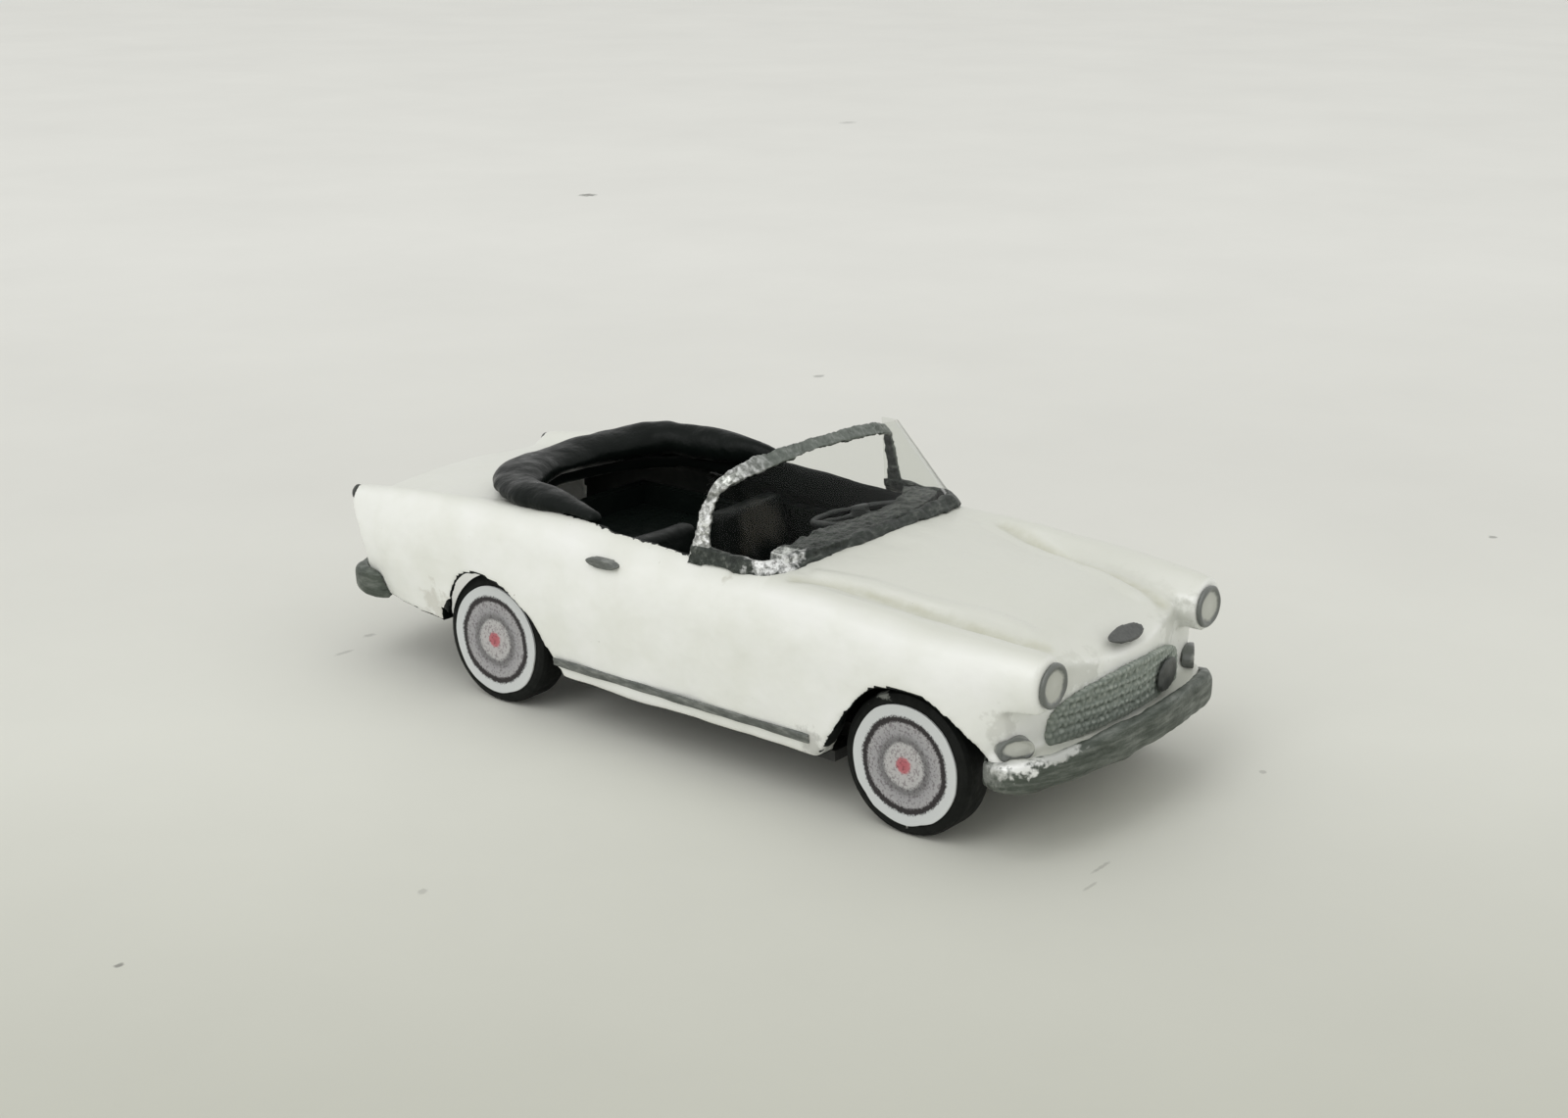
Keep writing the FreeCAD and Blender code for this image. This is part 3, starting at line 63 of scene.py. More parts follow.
def camera():
    """The camera at the photograph's viewing angle."""
    back = Vector((
        math.sin(CAMERA_AZIMUTH) * math.cos(CAMERA_ELEVATION),
        -math.cos(CAMERA_AZIMUTH) * math.cos(CAMERA_ELEVATION),
        math.sin(CAMERA_ELEVATION),
    ))
    level = (-back).cross(Vector((0, 0, 1))).normalized()
    upright = level.cross(-back)
    right = level * math.cos(CAMERA_ROLL) + upright * math.sin(CAMERA_ROLL)
    up = upright * math.cos(CAMERA_ROLL) - level * math.sin(CAMERA_ROLL)
    data = bpy.data.cameras.new("camera")
    data.lens = CAMERA_LENS
    data.clip_start = CAMERA_NEAR
    holder = bpy.data.objects.new("camera", data)
    turn = Matrix((right, up, back)).transposed().to_4x4()
    holder.matrix_world = Matrix.Translation(CAMERA_PLACE) @ turn
    bpy.context.scene.collection.objects.link(holder)
    bpy.context.scene.camera = holder


# The span that nearly all of a noise node's values lie in.
NOISE_SPAN = (0.3, 0.7)
# The share of a blot's radii up to which it has its full strength.
BLOT_CORE = 0.55


class Shader:
    """A material with one Principled surface, and short ways to add texture nodes to it.

    Lengths here are in millimetres: place is the object coordinate times a thousand.
    """

    def __init__(self, name, colour, **settings):
        self.material = bpy.data.materials.new(name)
        self.material.use_nodes = True
        self.tree = self.material.node_tree
        self.surface = self.tree.nodes["Principled BSDF"]
        self.surface.inputs["Base Color"].default_value = (*colour, 1)
        for setting, value in settings.items():
            label = setting.replace("_", " ").title().replace("Ior", "IOR")
            self.surface.inputs[label].default_value = value
        metres = self.add("ShaderNodeTexCoord").outputs["Object"]
        self.place = self.add("ShaderNodeMapping", Vector=metres, Scale=(1 / MM,) * 3).outputs[0]

    def add(self, kind, **inputs):
        """A new node, each input set to a value or joined to a socket."""
        node = self.tree.nodes.new(kind)
        for name, value in inputs.items():
            self.join(value, node.inputs[name.replace("_", " ")])
        return node

    def join(self, value, socket):
        """Link a socket to an input, or set the input to a value."""
        if isinstance(value, bpy.types.NodeSocket):
            self.tree.links.new(value, socket)
        else:
            socket.default_value = value

    def stretched(self, scale):
        """The place stretched by three factors."""
        return self.add("ShaderNodeMapping", Vector=self.place, Scale=scale).outputs[0]

    def noise(self, size, detail=3.0, roughness=0.55, place=None):
        """Noise from 0 to 1 whose features are about a given size across."""
        node = self.add(
            "ShaderNodeTexNoise",
            Vector=place or self.place,
            Scale=1 / size,
            Detail=detail,
            Roughness=roughness,
        )
        return node.outputs["Fac"]

    def ramp(self, factor, *stops):
        """A colour ramp through pairs of position and colour, or position and grey level."""
        node = self.add("ShaderNodeValToRGB", Fac=factor)
        elements = node.color_ramp.elements
        while len(elements) < len(stops):
            elements.new(0.5)
        for element, (position, colour) in zip(elements, stops):
            element.position = position
            element.color = (*colour, 1) if isinstance(colour, tuple) else (colour,) * 3 + (1,)
        return node.outputs["Color"]

    def mix(self, factor, first, second, kind="MIX"):
        """A blend of two colours."""
        node = self.tree.nodes.new("ShaderNodeMix")
        node.data_type = "RGBA"
        node.blend_type = kind
        self.join(factor, node.inputs["Factor"])
        for name, value in (("A", first), ("B", second)):
            socket = [item for item in node.inputs if item.name == name and item.type == "RGBA"][0]
            self.join(value if isinstance(value, bpy.types.NodeSocket) else (*value, 1), socket)
        return [item for item in node.outputs if item.type == "RGBA"][0]

    def math(self, operation, first, second):
        """The result of an operation on two numbers."""
        node = self.tree.nodes.new("ShaderNodeMath")
        node.operation = operation
        self.join(first, node.inputs[0])
        self.join(second, node.inputs[1])
        return node.outputs["Value"]

    def length(self, vector):
        """The length of a vector."""
        node = self.tree.nodes.new("ShaderNodeVectorMath")
        node.operation = "LENGTH"
        self.join(vector, node.inputs[0])
        return node.outputs["Value"]

    def span(self, value, low, high, to_low=0.0, to_high=1.0):
        """A value mapped from one span to another, held at its ends."""
        node = self.add("ShaderNodeMapRange", Value=value)
        for name, number in (("From Min", low), ("From Max", high), ("To Min", to_low),
                             ("To Max", to_high)):
            node.inputs[name].default_value = number
        return node.outputs["Result"]

    def varied(self, size, low, high):
        """A number that wanders between two values, in patches of about a given size."""
        return self.span(self.noise(size), *NOISE_SPAN, low, high)

    def attribute(self, name):
        """A number that the mesh carries at each of its points."""
        node = self.tree.nodes.new("ShaderNodeAttribute")
        node.attribute_name = name
        return node.outputs["Fac"]

    def blot(self, centre, radii, strength, ragged=0.5, grain=0.5):
        """A strength at a place, fading raggedly to 0 at radii along the three axes."""
        moved = self.add(
            "ShaderNodeMapping",
            Vector=self.place,
            Location=tuple(-part / radius for part, radius in zip(centre, radii)),
            Scale=tuple(1 / radius for radius in radii),
        ).outputs[0]
        rough = self.varied(grain, -ragged, ragged)
        reach = self.math("ADD", self.length(moved), rough)
        return self.span(reach, BLOT_CORE, 1.0, strength, 0.0)

    def colour(self, value):
        """Set the surface's colour."""
        self.join(value, self.surface.inputs["Base Color"])

    def rough(self, value):
        """Set the surface's roughness."""
        self.join(value, self.surface.inputs["Roughness"])

    def bump(self, *heights):
        """Raise the surface by heights, each a pair of socket and depth in millimetres."""
        normal = None
        for height, depth in heights:
            node = self.add("ShaderNodeBump", Height=height, Distance=depth * MM, Strength=1.0)
            if normal is not None:
                self.join(normal, node.inputs["Normal"])
            normal = node.outputs["Normal"]
        self.join(normal, self.surface.inputs["Normal"])


WHITE = (0.855, 0.865, 0.825)
# The grey of the painted shade on surfaces that face up.
TOP_SHADE_WHITE = (0.60, 0.61, 0.54)
# The colour of the painted shade in the bonnet's hollows.
SHADED_HOLLOW_WHITE = (0.46, 0.46, 0.33)
BLACK = (0.004, 0.006, 0.005)

# Dirt, thin grey brushing and painted shade on the white paint, the shade round the lamps on the
# nose, in the bonnet's hollows and at the feet of the wheel openings: middle, radii, strength,
# shade.
GRIME_AND_SHADE = (
    ((-8.6, 14.6, 4.2), (0.9, 1.1, 1.3), 0.36, (0.42, 0.39, 0.32)),
    ((-8.2, -9.6, 3.2), (1.2, 0.7, 1.0), 0.55, (0.34, 0.34, 0.31)),
    ((-7.9, -19.3, 6.2), (0.8, 0.9, 0.9), 0.35, (0.42, 0.42, 0.37)),
    ((-3.9, -20.3, 7.6), (1.7, 1.0, 1.2), 0.42, (0.42, 0.43, 0.37)),
    ((4.6, -20.2, 7.7), (1.6, 1.2, 1.3), 0.38, (0.42, 0.43, 0.37)),
    ((5.4, -16.5, 8.6), (0.8, 4.5, 0.8), 0.25, (0.45, 0.46, 0.40)),
    ((-5.2, -15.0, 8.7), (0.8, 4.0, 0.8), 0.22, (0.45, 0.46, 0.40)),
    ((-8.1, -4.2, 9.9), (0.5, 0.35, 0.5), 0.45, (0.45, 0.43, 0.36)),
)


def white_paint():
    """Thick brushed white enamel, greyish in clouds, with small dirt, painted shade, and black
    inside its rims.

    The mesh carries how far a point is inside the black, its share of painted shade where it faces
    up, and how near it lies to a hollow of the bonnet, where shade is painted too.
    """
    shader = Shader("white_paint", WHITE, roughness=0.42, coat_weight=0.2, coat_roughness=0.3)
    cloud = shader.noise(3.2)
    tint = shader.ramp(cloud, (0.3, (0.81, 0.82, 0.765)), (0.52, WHITE),
                       (0.72, (0.88, 0.885, 0.86)))
    specks = shader.ramp(shader.noise(0.3, 2.0, 0.5), (0.0, 0.0), (0.765, 0.0), (0.80, 0.75))
    tint = shader.mix(specks, tint, (0.36, 0.34, 0.28))
    # Dirt and painted shade from the table of blots.
    for centre, radii, strength, shade in GRIME_AND_SHADE:
        tint = shader.mix(shader.blot(centre, radii, strength), tint, shade)
    # Surfaces that face up are painted greyer as shade.
    tint = shader.mix(shader.attribute("top_shade"), tint, TOP_SHADE_WHITE)
    # The bonnet's hollows are painted darker as shade.
    wear_and_hollow_shade = shader.math("MULTIPLY", shader.attribute("hollow"), shader.varied(0.8, 0.2, 0.6))
    tint = shader.mix(wear_and_hollow_shade, tint, SHADED_HOLLOW_WHITE)
    ragged = shader.span(shader.noise(0.45, 4.0, 0.65), 0.25, 0.75, -0.22, 0.22)
    inside = shader.math("ADD", shader.attribute("inside"), ragged)
    black_share = shader.span(inside, -0.02, 0.03)
    shader.colour(shader.mix(black_share, tint, BLACK))
    # The white has a weak lacquer, and the black has none and is hardly glossy.
    for label, on_white, on_black in (("Specular IOR Level", 0.5, 0.1), ("Coat Weight", 0.2, 0.0)):
        level = shader.span(black_share, 0.0, 1.0, on_white, on_black)
        shader.join(level, shader.surface.inputs[label])
    shader.rough(shader.span(cloud, *NOISE_SPAN, 0.36, 0.48))
    shader.bump((shader.noise(1.7, 2.0), 0.09), (shader.noise(0.25), 0.006))
    return shader.material


def brushed_silver(name, dark, middle, light):
    """The shader of silver enamel with lengthwise streaks, and the colour of those streaks."""
    shader = Shader(name, middle, roughness=0.42, metallic=0.45)
    streaks = shader.noise(0.45, 4.0, 0.65, shader.stretched((0.28, 0.5, 2.0)))
    colour = shader.ramp(streaks, (0.30, dark), (0.5, middle), (0.72, light))
    shader.colour(colour)
    shader.rough(shader.span(streaks, *NOISE_SPAN, 0.55, 0.36))
    shader.bump((streaks, 0.05), (shader.noise(0.16), 0.02))
    return shader, colour


def silver_paint():
    """Brushed silver enamel."""
    shader, _ = brushed_silver("silver_paint", (0.08, 0.09, 0.08), (0.15, 0.16, 0.15),
                               (0.30, 0.31, 0.29))
    return shader.material


# Where the front bumper's silver is worn to the white under it, with a painted highlight at its
# near
# end: middle, radii, strength, shade.
BUMPER_WEAR_AND_HIGHLIGHT = (
    ((-8.0, -19.9, 4.9), (1.1, 1.5, 0.75), 1.0, (0.86, 0.87, 0.85)),
    ((-6.4, -21.0, 5.0), (1.6, 0.9, 0.35), 0.7, (0.70, 0.71, 0.68)),
    ((-8.3, -19.0, 4.2), (0.7, 0.9, 0.9), 0.5, (0.38, 0.39, 0.37)),
)


def bumper_paint():
    """Silver over white, worn through to the white at one end, with a painted highlight there."""
    shader, tint = brushed_silver("bumper_silver", (0.048, 0.058, 0.047), (0.085, 0.10, 0.083),
                                  (0.18, 0.195, 0.175))
    # Wear to the white and a painted highlight at the near end.
    for centre, radii, strength, shade in BUMPER_WEAR_AND_HIGHLIGHT:
        tint = shader.mix(shader.blot(centre, radii, strength, 0.45, 0.35), tint, shade)
    shader.colour(tint)
    return shader.material


def foil():
    """Crinkled foil with a painted highlight at one pillar, darker towards the other side."""
    shader = Shader("foil", (0.4, 0.4, 0.39), roughness=0.34, metallic=0.7)
    crinkle = shader.noise(0.30, 3.0, 0.6)
    across = shader.add("ShaderNodeSeparateXYZ", Vector=shader.place).outputs["X"]
    # Painted highlight on the foil at the near pillar.
    near_highlight = shader.ramp(crinkle, (0.30, (0.12, 0.125, 0.12)), (0.48, (0.36, 0.365, 0.35)),
                       (0.62, (0.85, 0.86, 0.85)))
    far = shader.ramp(crinkle, (0.30, (0.11, 0.125, 0.11)), (0.55, (0.17, 0.19, 0.17)),
                      (0.75, (0.27, 0.285, 0.265)))
    shader.colour(shader.mix(shader.span(across, -6.4, -3.6), near_highlight, far))
    shader.bump((crinkle, 0.07))
    return shader.material


def scuttle_silver():
    """Dark smeared silver over the scuttle, with a painted highlight on one crumpled patch."""
    shader = Shader("scuttle_silver", (0.09, 0.1, 0.09), roughness=0.4, metallic=0.35)
    streaks = shader.noise(0.5, 5.0, 0.7, shader.stretched((0.5, 1.3, 1.3)))
    shade = shader.ramp(streaks, (0.36, (0.008, 0.012, 0.009)), (0.55, (0.036, 0.044, 0.037)),
                        (0.74, (0.17, 0.18, 0.16)))
    crumple = shader.noise(0.2, 4.0, 0.7)
    # A painted highlight on a crumpled patch at the screen's near foot.
    painted_highlight = shader.ramp(crumple, (0.34, (0.25, 0.25, 0.24)), (0.52, (0.88, 0.89, 0.88)))
    highlight_patch = shader.blot((-6.6, -5.9, 10.4), (1.5, 1.3, 0.8), 1.0, 0.5, 0.5)
    shader.colour(shader.mix(highlight_patch, shade, painted_highlight))
    shader.bump((streaks, 0.10), (crumple, 0.03))
    return shader.material


def black_paint():
    """Black enamel with a weak gloss, slightly uneven."""
    shader = Shader("black_paint", BLACK, roughness=0.3, specular_ior_level=0.12)
    shader.rough(shader.varied(0.7, 0.26, 0.5))
    shader.bump((shader.noise(1.1), 0.10), (shader.noise(0.2), 0.010))
    return shader.material


# Where the tyre paint is worn: middle, radii, shade.
TYRE_MARKS = (
    ((-8.2, -14.68, 0.56), (0.3, 0.09, 0.22), (0.62, 0.62, 0.58)),
    ((-8.2, -13.1, 6.25), (0.5, 0.6, 0.22), (0.24, 0.25, 0.23)),
)


def rubber():
    """Black tyre paint with pale specks, worn in two places."""
    shader = Shader("rubber", (0.004, 0.005, 0.004), roughness=0.8, specular_ior_level=0.18)
    wear_and_hollow_shade = shader.ramp(shader.noise(0.3, 2.0, 0.5), (0.0, (0.005, 0.006, 0.005)),
                       (0.70, (0.006, 0.007, 0.006)), (0.80, (0.05, 0.05, 0.048)))
    for centre, radii, shade in TYRE_MARKS:
        wear_and_hollow_shade = shader.mix(shader.blot(centre, radii, 1.0, 0.4, 0.2), wear_and_hollow_shade, shade)
    shader.colour(wear_and_hollow_shade)
    shader.rough(shader.varied(0.5, 0.55, 0.85))
    shader.bump((shader.noise(0.3), 0.03))
    return shader.material


# The printed wheel's rings, from its middle outwards: share of the disc's radius, colour.
PRINT_STOPS = (
    (0.0, (0.42, 0.10, 0.12)), (0.12, (0.47, 0.15, 0.17)), (0.155, (0.47, 0.45, 0.45)),
    (0.35, (0.47, 0.465, 0.46)), (0.40, (0.17, 0.167, 0.17)), (0.46, (0.19, 0.187, 0.19)),
    (0.53, (0.33, 0.325, 0.335)), (0.685, (0.38, 0.375, 0.38)), (0.72, (0.02, 0.015, 0.017)),
    (0.79, (0.018, 0.014, 0.016)), (0.825, (0.60, 0.62, 0.62)), (1.0, (0.62, 0.64, 0.635)),
)
DISC_RADIUS = 2.78


def printed_rings():
    """Ink-jet print of a wheel: rings round a pink dot, with soft speckled edges."""
    shader = Shader("printed_rings", (0.7, 0.7, 0.7), roughness=0.6)
    shares = shader.length(shader.stretched((0.0, 1 / DISC_RADIUS, 1 / DISC_RADIUS)))
    wave = shader.span(shader.noise(1.2, 1.0), *NOISE_SPAN, -0.012, 0.012)
    grain = shader.span(shader.noise(0.07, 1.0, 0.5), 0.25, 0.75, -0.022, 0.022)
    reach = shader.math("ADD", shares, shader.math("ADD", wave, grain))
    print_colour = shader.ramp(reach, *PRINT_STOPS)
    dots = shader.ramp(shader.noise(0.1, 1.0, 0.5), (0.0, 0.0), (0.50, 0.0), (0.66, 0.9))
    inner = shader.span(reach, 0.72, 0.79, 1.0, 0.0)
    speckled = shader.mix(shader.math("MULTIPLY", dots, inner), print_colour, (0.52, 0.48, 0.50),
                          "MULTIPLY")
    shader.colour(speckled)
    shader.bump((shader.noise(0.12), 0.006))
    return shader.material


def film():
    """Clear thin film with a weak gloss and a faint painted reflection on one side."""
    shader = Shader("film", (0.97, 0.98, 0.97), roughness=0.04)
    clear = shader.add("ShaderNodeBsdfTransparent", Color=(0.95, 0.955, 0.945, 1))
    gloss = shader.add("ShaderNodeBsdfGlossy", Roughness=0.08)
    # A painted reflection: a brownish band on one side of the film.
    reflection_tint = shader.add("ShaderNodeBsdfDiffuse", Color=(0.30, 0.28, 0.23, 1))
    facing = shader.add("ShaderNodeLayerWeight", Blend=0.12)
    reflection_band = shader.blot((-6.3, -4.9, 12.2), (1.5, 0.85, 3.0), 0.03, 0.15, 0.9)
    sheen = shader.math("MULTIPLY", facing.outputs["Fresnel"], 0.5)
    sheet = clear.outputs[0]
    for factor, layer in ((sheen, gloss), (reflection_band, reflection_tint)):
        blend = shader.add("ShaderNodeMixShader")
        shader.join(factor, blend.inputs[0])
        shader.join(sheet, blend.inputs[1])
        shader.join(layer.outputs[0], blend.inputs[2])
        sheet = blend.outputs[0]
    output = [node for node in shader.tree.nodes if node.type == "OUTPUT_MATERIAL"][0]
    shader.join(sheet, output.inputs["Surface"])
    return shader.material


def plain(name, colour, roughness, metallic=0.0, grain=0.3):
    """A lightly mottled surface of one colour."""
    shader = Shader(name, colour, roughness=roughness, metallic=metallic)
    light = tuple(min(1.0, part * 1.15) for part in colour)
    dark = tuple(part * 0.85 for part in colour)
    shader.colour(shader.ramp(shader.noise(grain), (0.35, dark), (0.65, light)))
    shader.bump((shader.noise(grain), 0.02))
    return shader.material


def outlined_lens():
    """A painted lamp: a pale lens inside a hand-drawn grey ring."""
    shader = Shader("outlined_lens", (0.5, 0.5, 0.46), roughness=0.35, coat_weight=0.3)
    edge = shader.math("ADD", shader.attribute("reach"), shader.varied(0.5, -0.07, 0.07))
    shader.colour(shader.ramp(edge, (0.0, (0.52, 0.53, 0.48)), (0.60, (0.47, 0.48, 0.43)),
                              (0.76, (0.14, 0.15, 0.14)), (1.0, (0.13, 0.14, 0.13))))
    shader.bump((shader.noise(0.3), 0.02))
    return shader.material


def woven_grey():
    """Grey painted mesh with painted shade in its hollows and painted light on its crests, paler
    towards one side.
    """
    shader = Shader("woven_grey", (0.15, 0.16, 0.15), roughness=0.5, metallic=0.25)
    grain = shader.span(shader.noise(0.25, 4.0, 0.7), 0.25, 0.75, -0.3, 0.3)
    level = shader.math("ADD", shader.attribute("relief"), grain)
    across = shader.add("ShaderNodeSeparateXYZ", Vector=shader.place).outputs["X"]
    # Painted shade in the net's hollows and painted light on its crests, from its relief.
    dark = shader.ramp(level, (0.1, (0.14, 0.165, 0.14)), (0.5, (0.22, 0.25, 0.22)),
                       (0.95, (0.33, 0.36, 0.32)))
    pale = shader.ramp(level, (0.1, (0.19, 0.22, 0.19)), (0.5, (0.28, 0.32, 0.28)),
                       (0.95, (0.44, 0.47, 0.42)))
    shader.colour(shader.mix(shader.span(across, -3.5, 5.0), dark, pale))
    shader.bump((shader.noise(0.14), 0.02))
    return shader.material


# Marks on the floor: place across and along, half width and half length, darkness.
FLOOR_MARKS = (
    (114.3, 119.6, 1.2, 1.1, 0.8), (58.4, 41.8, 0.6, 0.5, 0.45), (51.0, -17.0, 0.35, 0.3, 0.6),
    (-37.1, 1.9, 0.25, 0.2, 0.8), (-5.6, 23.0, 0.5, 0.25, 0.35), (-8.3, 22.0, 0.7, 0.2, 0.3),
    (-7.4, -23.5, 0.6, 0.12, 0.3), (-5.5, -22.9, 0.9, 0.12, 0.35), (-25.3, -2.4, 0.3, 0.25, 0.3),
    (8.2, -23.4, 0.25, 0.2, 0.35), (189.3, 137.9, 1.8, 1.2, 0.3),
)
MARK_SHADE = (0.20, 0.20, 0.18)
# The way in plan that the floor's painted shade gives way to painted light, and the span that it
# does so over.
PALER_WAY = (0.783, 0.622, 0.0)
PALER_SPAN = (-45.0, 120.0)


def floor_paper():
    """Card with faint clouds and a few marks, with painted shade that makes it darkest and warmest
    in front of the model.
    """
    shader = Shader("floor_paper", (0.7, 0.7, 0.66), roughness=0.75)
    cloud = shader.noise(26.0, 5.0, 0.6)
    away = shader.tree.nodes.new("ShaderNodeVectorMath")
    away.operation = "DOT_PRODUCT"
    shader.join(shader.place, away.inputs[0])
    away.inputs[1].default_value = PALER_WAY
    # Painted shade in front of the model, giving way to painted light behind it.
    painted_falloff = shader.ramp(shader.span(away.outputs["Value"], *PALER_SPAN),
                       (0.0, (0.535, 0.54, 0.47)), (0.25, (0.715, 0.72, 0.66)),
                       (0.5, (0.71, 0.71, 0.665)), (1.0, (0.775, 0.775, 0.735)))
    clouds = shader.ramp(cloud, (0.3, 0.955), (0.7, 1.0))
    paper = shader.mix(1.0, painted_falloff, clouds, "MULTIPLY")
    for across, along, half_width, half_length, darkness in FLOOR_MARKS:
        mark = shader.blot((across, along, 0.0), (half_width, half_length, 1.0), darkness,
                           0.3, 0.4)
        paper = shader.mix(mark, paper, MARK_SHADE)
    shader.colour(paper)
    shader.bump((shader.noise(6.0, 4.0), 0.05))
    return shader.material


FLOOR_HALF = 1500 * MM
WORLD_COLOUR = (1.0, 1.0, 0.985, 1)
WORLD_LEVEL = 0.82
# Round soft lamps, both on the side that the photograph shows: name, place, power in watts.
LAMPS = (
    ("high_side", (-450, 0, 780), 1.0),
    ("low_side", (-737, 0, 516), 0.95),
)
LAMP_WIDTH = 500 * MM


def stage_and_light():
    """A pale floor and soft light from all round, stronger from one side."""
    mesh = bpy.data.meshes.new("floor")
    corners = [(-FLOOR_HALF, -FLOOR_HALF, 0), (FLOOR_HALF, -FLOOR_HALF, 0),
               (FLOOR_HALF, FLOOR_HALF, 0), (-FLOOR_HALF, FLOOR_HALF, 0)]
    mesh.from_pydata(corners, [], [(0, 1, 2, 3)])
    mesh.materials.append(floor_paper())
    floor = bpy.data.objects.new("floor", mesh)
    bpy.context.scene.collection.objects.link(floor)
    world = bpy.data.worlds.new("world")
    world.use_nodes = True
    background = world.node_tree.nodes["Background"]
    background.inputs["Color"].default_value = WORLD_COLOUR
    background.inputs["Strength"].default_value = WORLD_LEVEL
    bpy.context.scene.world = world
    bpy.context.scene.view_settings.view_transform = "Standard"
    for name, place, power in LAMPS:
        lamp = bpy.data.lights.new(name, "AREA")
        lamp.shape = "DISK"
        lamp.size = LAMP_WIDTH
        lamp.energy = power
        holder = bpy.data.objects.new(name, lamp)
        holder.location = Vector(place) * MM
        holder.rotation_euler = (-holder.location).to_track_quat("-Z", "Y").to_euler()
        bpy.context.scene.collection.objects.link(holder)


def linked(name, mesh, material):
    """A smooth-shaded object in the scene from a mesh and its material."""
    mesh.materials.clear()
    mesh.materials.append(material)
    for polygon in mesh.polygons:
        polygon.use_smooth = True
    piece = bpy.data.objects.new(name, mesh)
    bpy.context.scene.collection.objects.link(piece)
    return piece


def evened(name, piece, voxel, relax, material):
    """A new piece from a rough one, made of small even faces and relaxed."""
    remesh = piece.modifiers.new("remesh", "REMESH")
    remesh.mode = "VOXEL"
    remesh.voxel_size = voxel * MM
    smooth = piece.modifiers.new("smooth", "SMOOTH")
    smooth.iterations = relax
    graph = bpy.context.evaluated_depsgraph_get()
    mesh = bpy.data.meshes.new_from_object(piece.evaluated_get(graph))
    bpy.data.objects.remove(piece)
    return linked(name, mesh, material)


def remade(name, node, voxel, relax, material):
    """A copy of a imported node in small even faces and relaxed, as if hand-shaped."""
    rough = linked("rough_" + name, nodes[node].data.copy(), material)
    return evened(name, rough, voxel, relax, material)


def uneven(piece, *lumps):
    """Move a piece's points along their normals by smooth noise: sizes and depths of its lumps."""
    normals = [vertex.normal.copy() for vertex in piece.data.vertices]
    for vertex, normal in zip(piece.data.vertices, normals):
        place = vertex.co / MM
        shift = sum(noise.noise(place / size) * depth for size, depth in lumps)
        vertex.co += normal * (shift * MM)


def points_attribute(piece, name, measure):
    """Store a number for each point of a piece, from its place in millimetres and its normal."""
    attribute = piece.data.attributes.new(name, "FLOAT", "POINT")
    values = [measure(vertex.co / MM, vertex.normal) for vertex in piece.data.vertices]
    attribute.data.foreach_set("value", values)


def fitted(piece, body, slot, *replaced):
    """Hang a piece on the holder of the body that it rides on and hide the nodes that it replaces;
    the slot is not used.
    """
    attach(piece, body)
    for node in replaced:
        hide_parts(node)


# The cockpit opening in plan: its front edge, length and half width, and shares of the half
# width at shares of the length.
COCKPIT_FRONT = -6.45
COCKPIT_LENGTH = 20.1
COCKPIT_HALF_WIDTH = 7.2
COCKPIT_SHARES = ((0.0, 0.0), (0.008, 0.5), (0.02, 0.88), (0.085, 0.985), (0.25, 1.0), (0.4, 1.0),
                  (0.52, 0.98), (0.62, 0.955), (0.72, 0.92), (0.85, 0.84), (0.935, 0.69),
                  (0.985, 0.4), (1.0, 0.0))
# The opening counts as longer than it is by this share, and as wider by this much, so that its
# walls lie inside it.
WALL_SHARE = 0.965
WALL_MARGIN = 0.22
# Where black paint runs over the rim on the far side: how far, between which places along, and
# the least height and upward facing of the surface that it covers.
OVER_RIM = 1.35
OVER_RIM_SPAN = (-1.6, 4.6)
OVER_RIM_HEIGHT = 8.6
OVER_RIM_FACING = 0.4
# The wheel openings: place along and height of their middles, radius, how far outward a surface
# may face at most to be black, and the height up to which they count in place of the cockpit.
WELLS = ((-14.5, 3.3), (10.6, 3.3))
WELL_RADIUS = 4.3
WELL_EDGE = 0.6
WELL_TOP = 7.6
# Surfaces that face inward or down by this much are black as well, except at the body's ends: the
# inward ones as black paint, the downward ones as painted shade under the car.
HIDDEN_FACING = -0.6
HIDDEN_SPAN = (-17.0, 20.6)


def blackness(place, normal):
    """How far a point lies inside the parts of the body that are painted black."""
    x, y, z = place
    share = ((y - COCKPIT_FRONT) / COCKPIT_LENGTH - 0.5) * WALL_SHARE + 0.5
    half_width = -1.0
    for (start, first), (stop, second) in zip(COCKPIT_SHARES, COCKPIT_SHARES[1:]):
        if start <= share <= stop:
            part = (share - start) / (stop - start)
            half_width = COCKPIT_HALF_WIDTH * (first + (second - first) * part)
    inside = half_width + WALL_MARGIN - abs(x)
    if x > 0 and z > OVER_RIM_HEIGHT and normal.z > OVER_RIM_FACING:
        start, stop = OVER_RIM_SPAN
        over = min(COCKPIT_HALF_WIDTH + OVER_RIM - x, y - start, stop - y)
        inside = max(inside, over)
    outward = normal.x * math.copysign(1, x)
    if z < WELL_TOP:
        wells = max(WELL_RADIUS - math.hypot(y - along, z - up) for along, up in WELLS)
        inside = min(wells, WELL_EDGE - outward)
    hidden = outward < HIDDEN_FACING or normal.z < HIDDEN_FACING
    between_ends = HIDDEN_SPAN[0] < y < HIDDEN_SPAN[1]
    # Inward faces here are black paint; downward faces are black as painted shade under the car.
    if hidden and between_ends and (z < WELL_TOP or y > COCKPIT_FRONT):
        inside = 1.0
    return inside


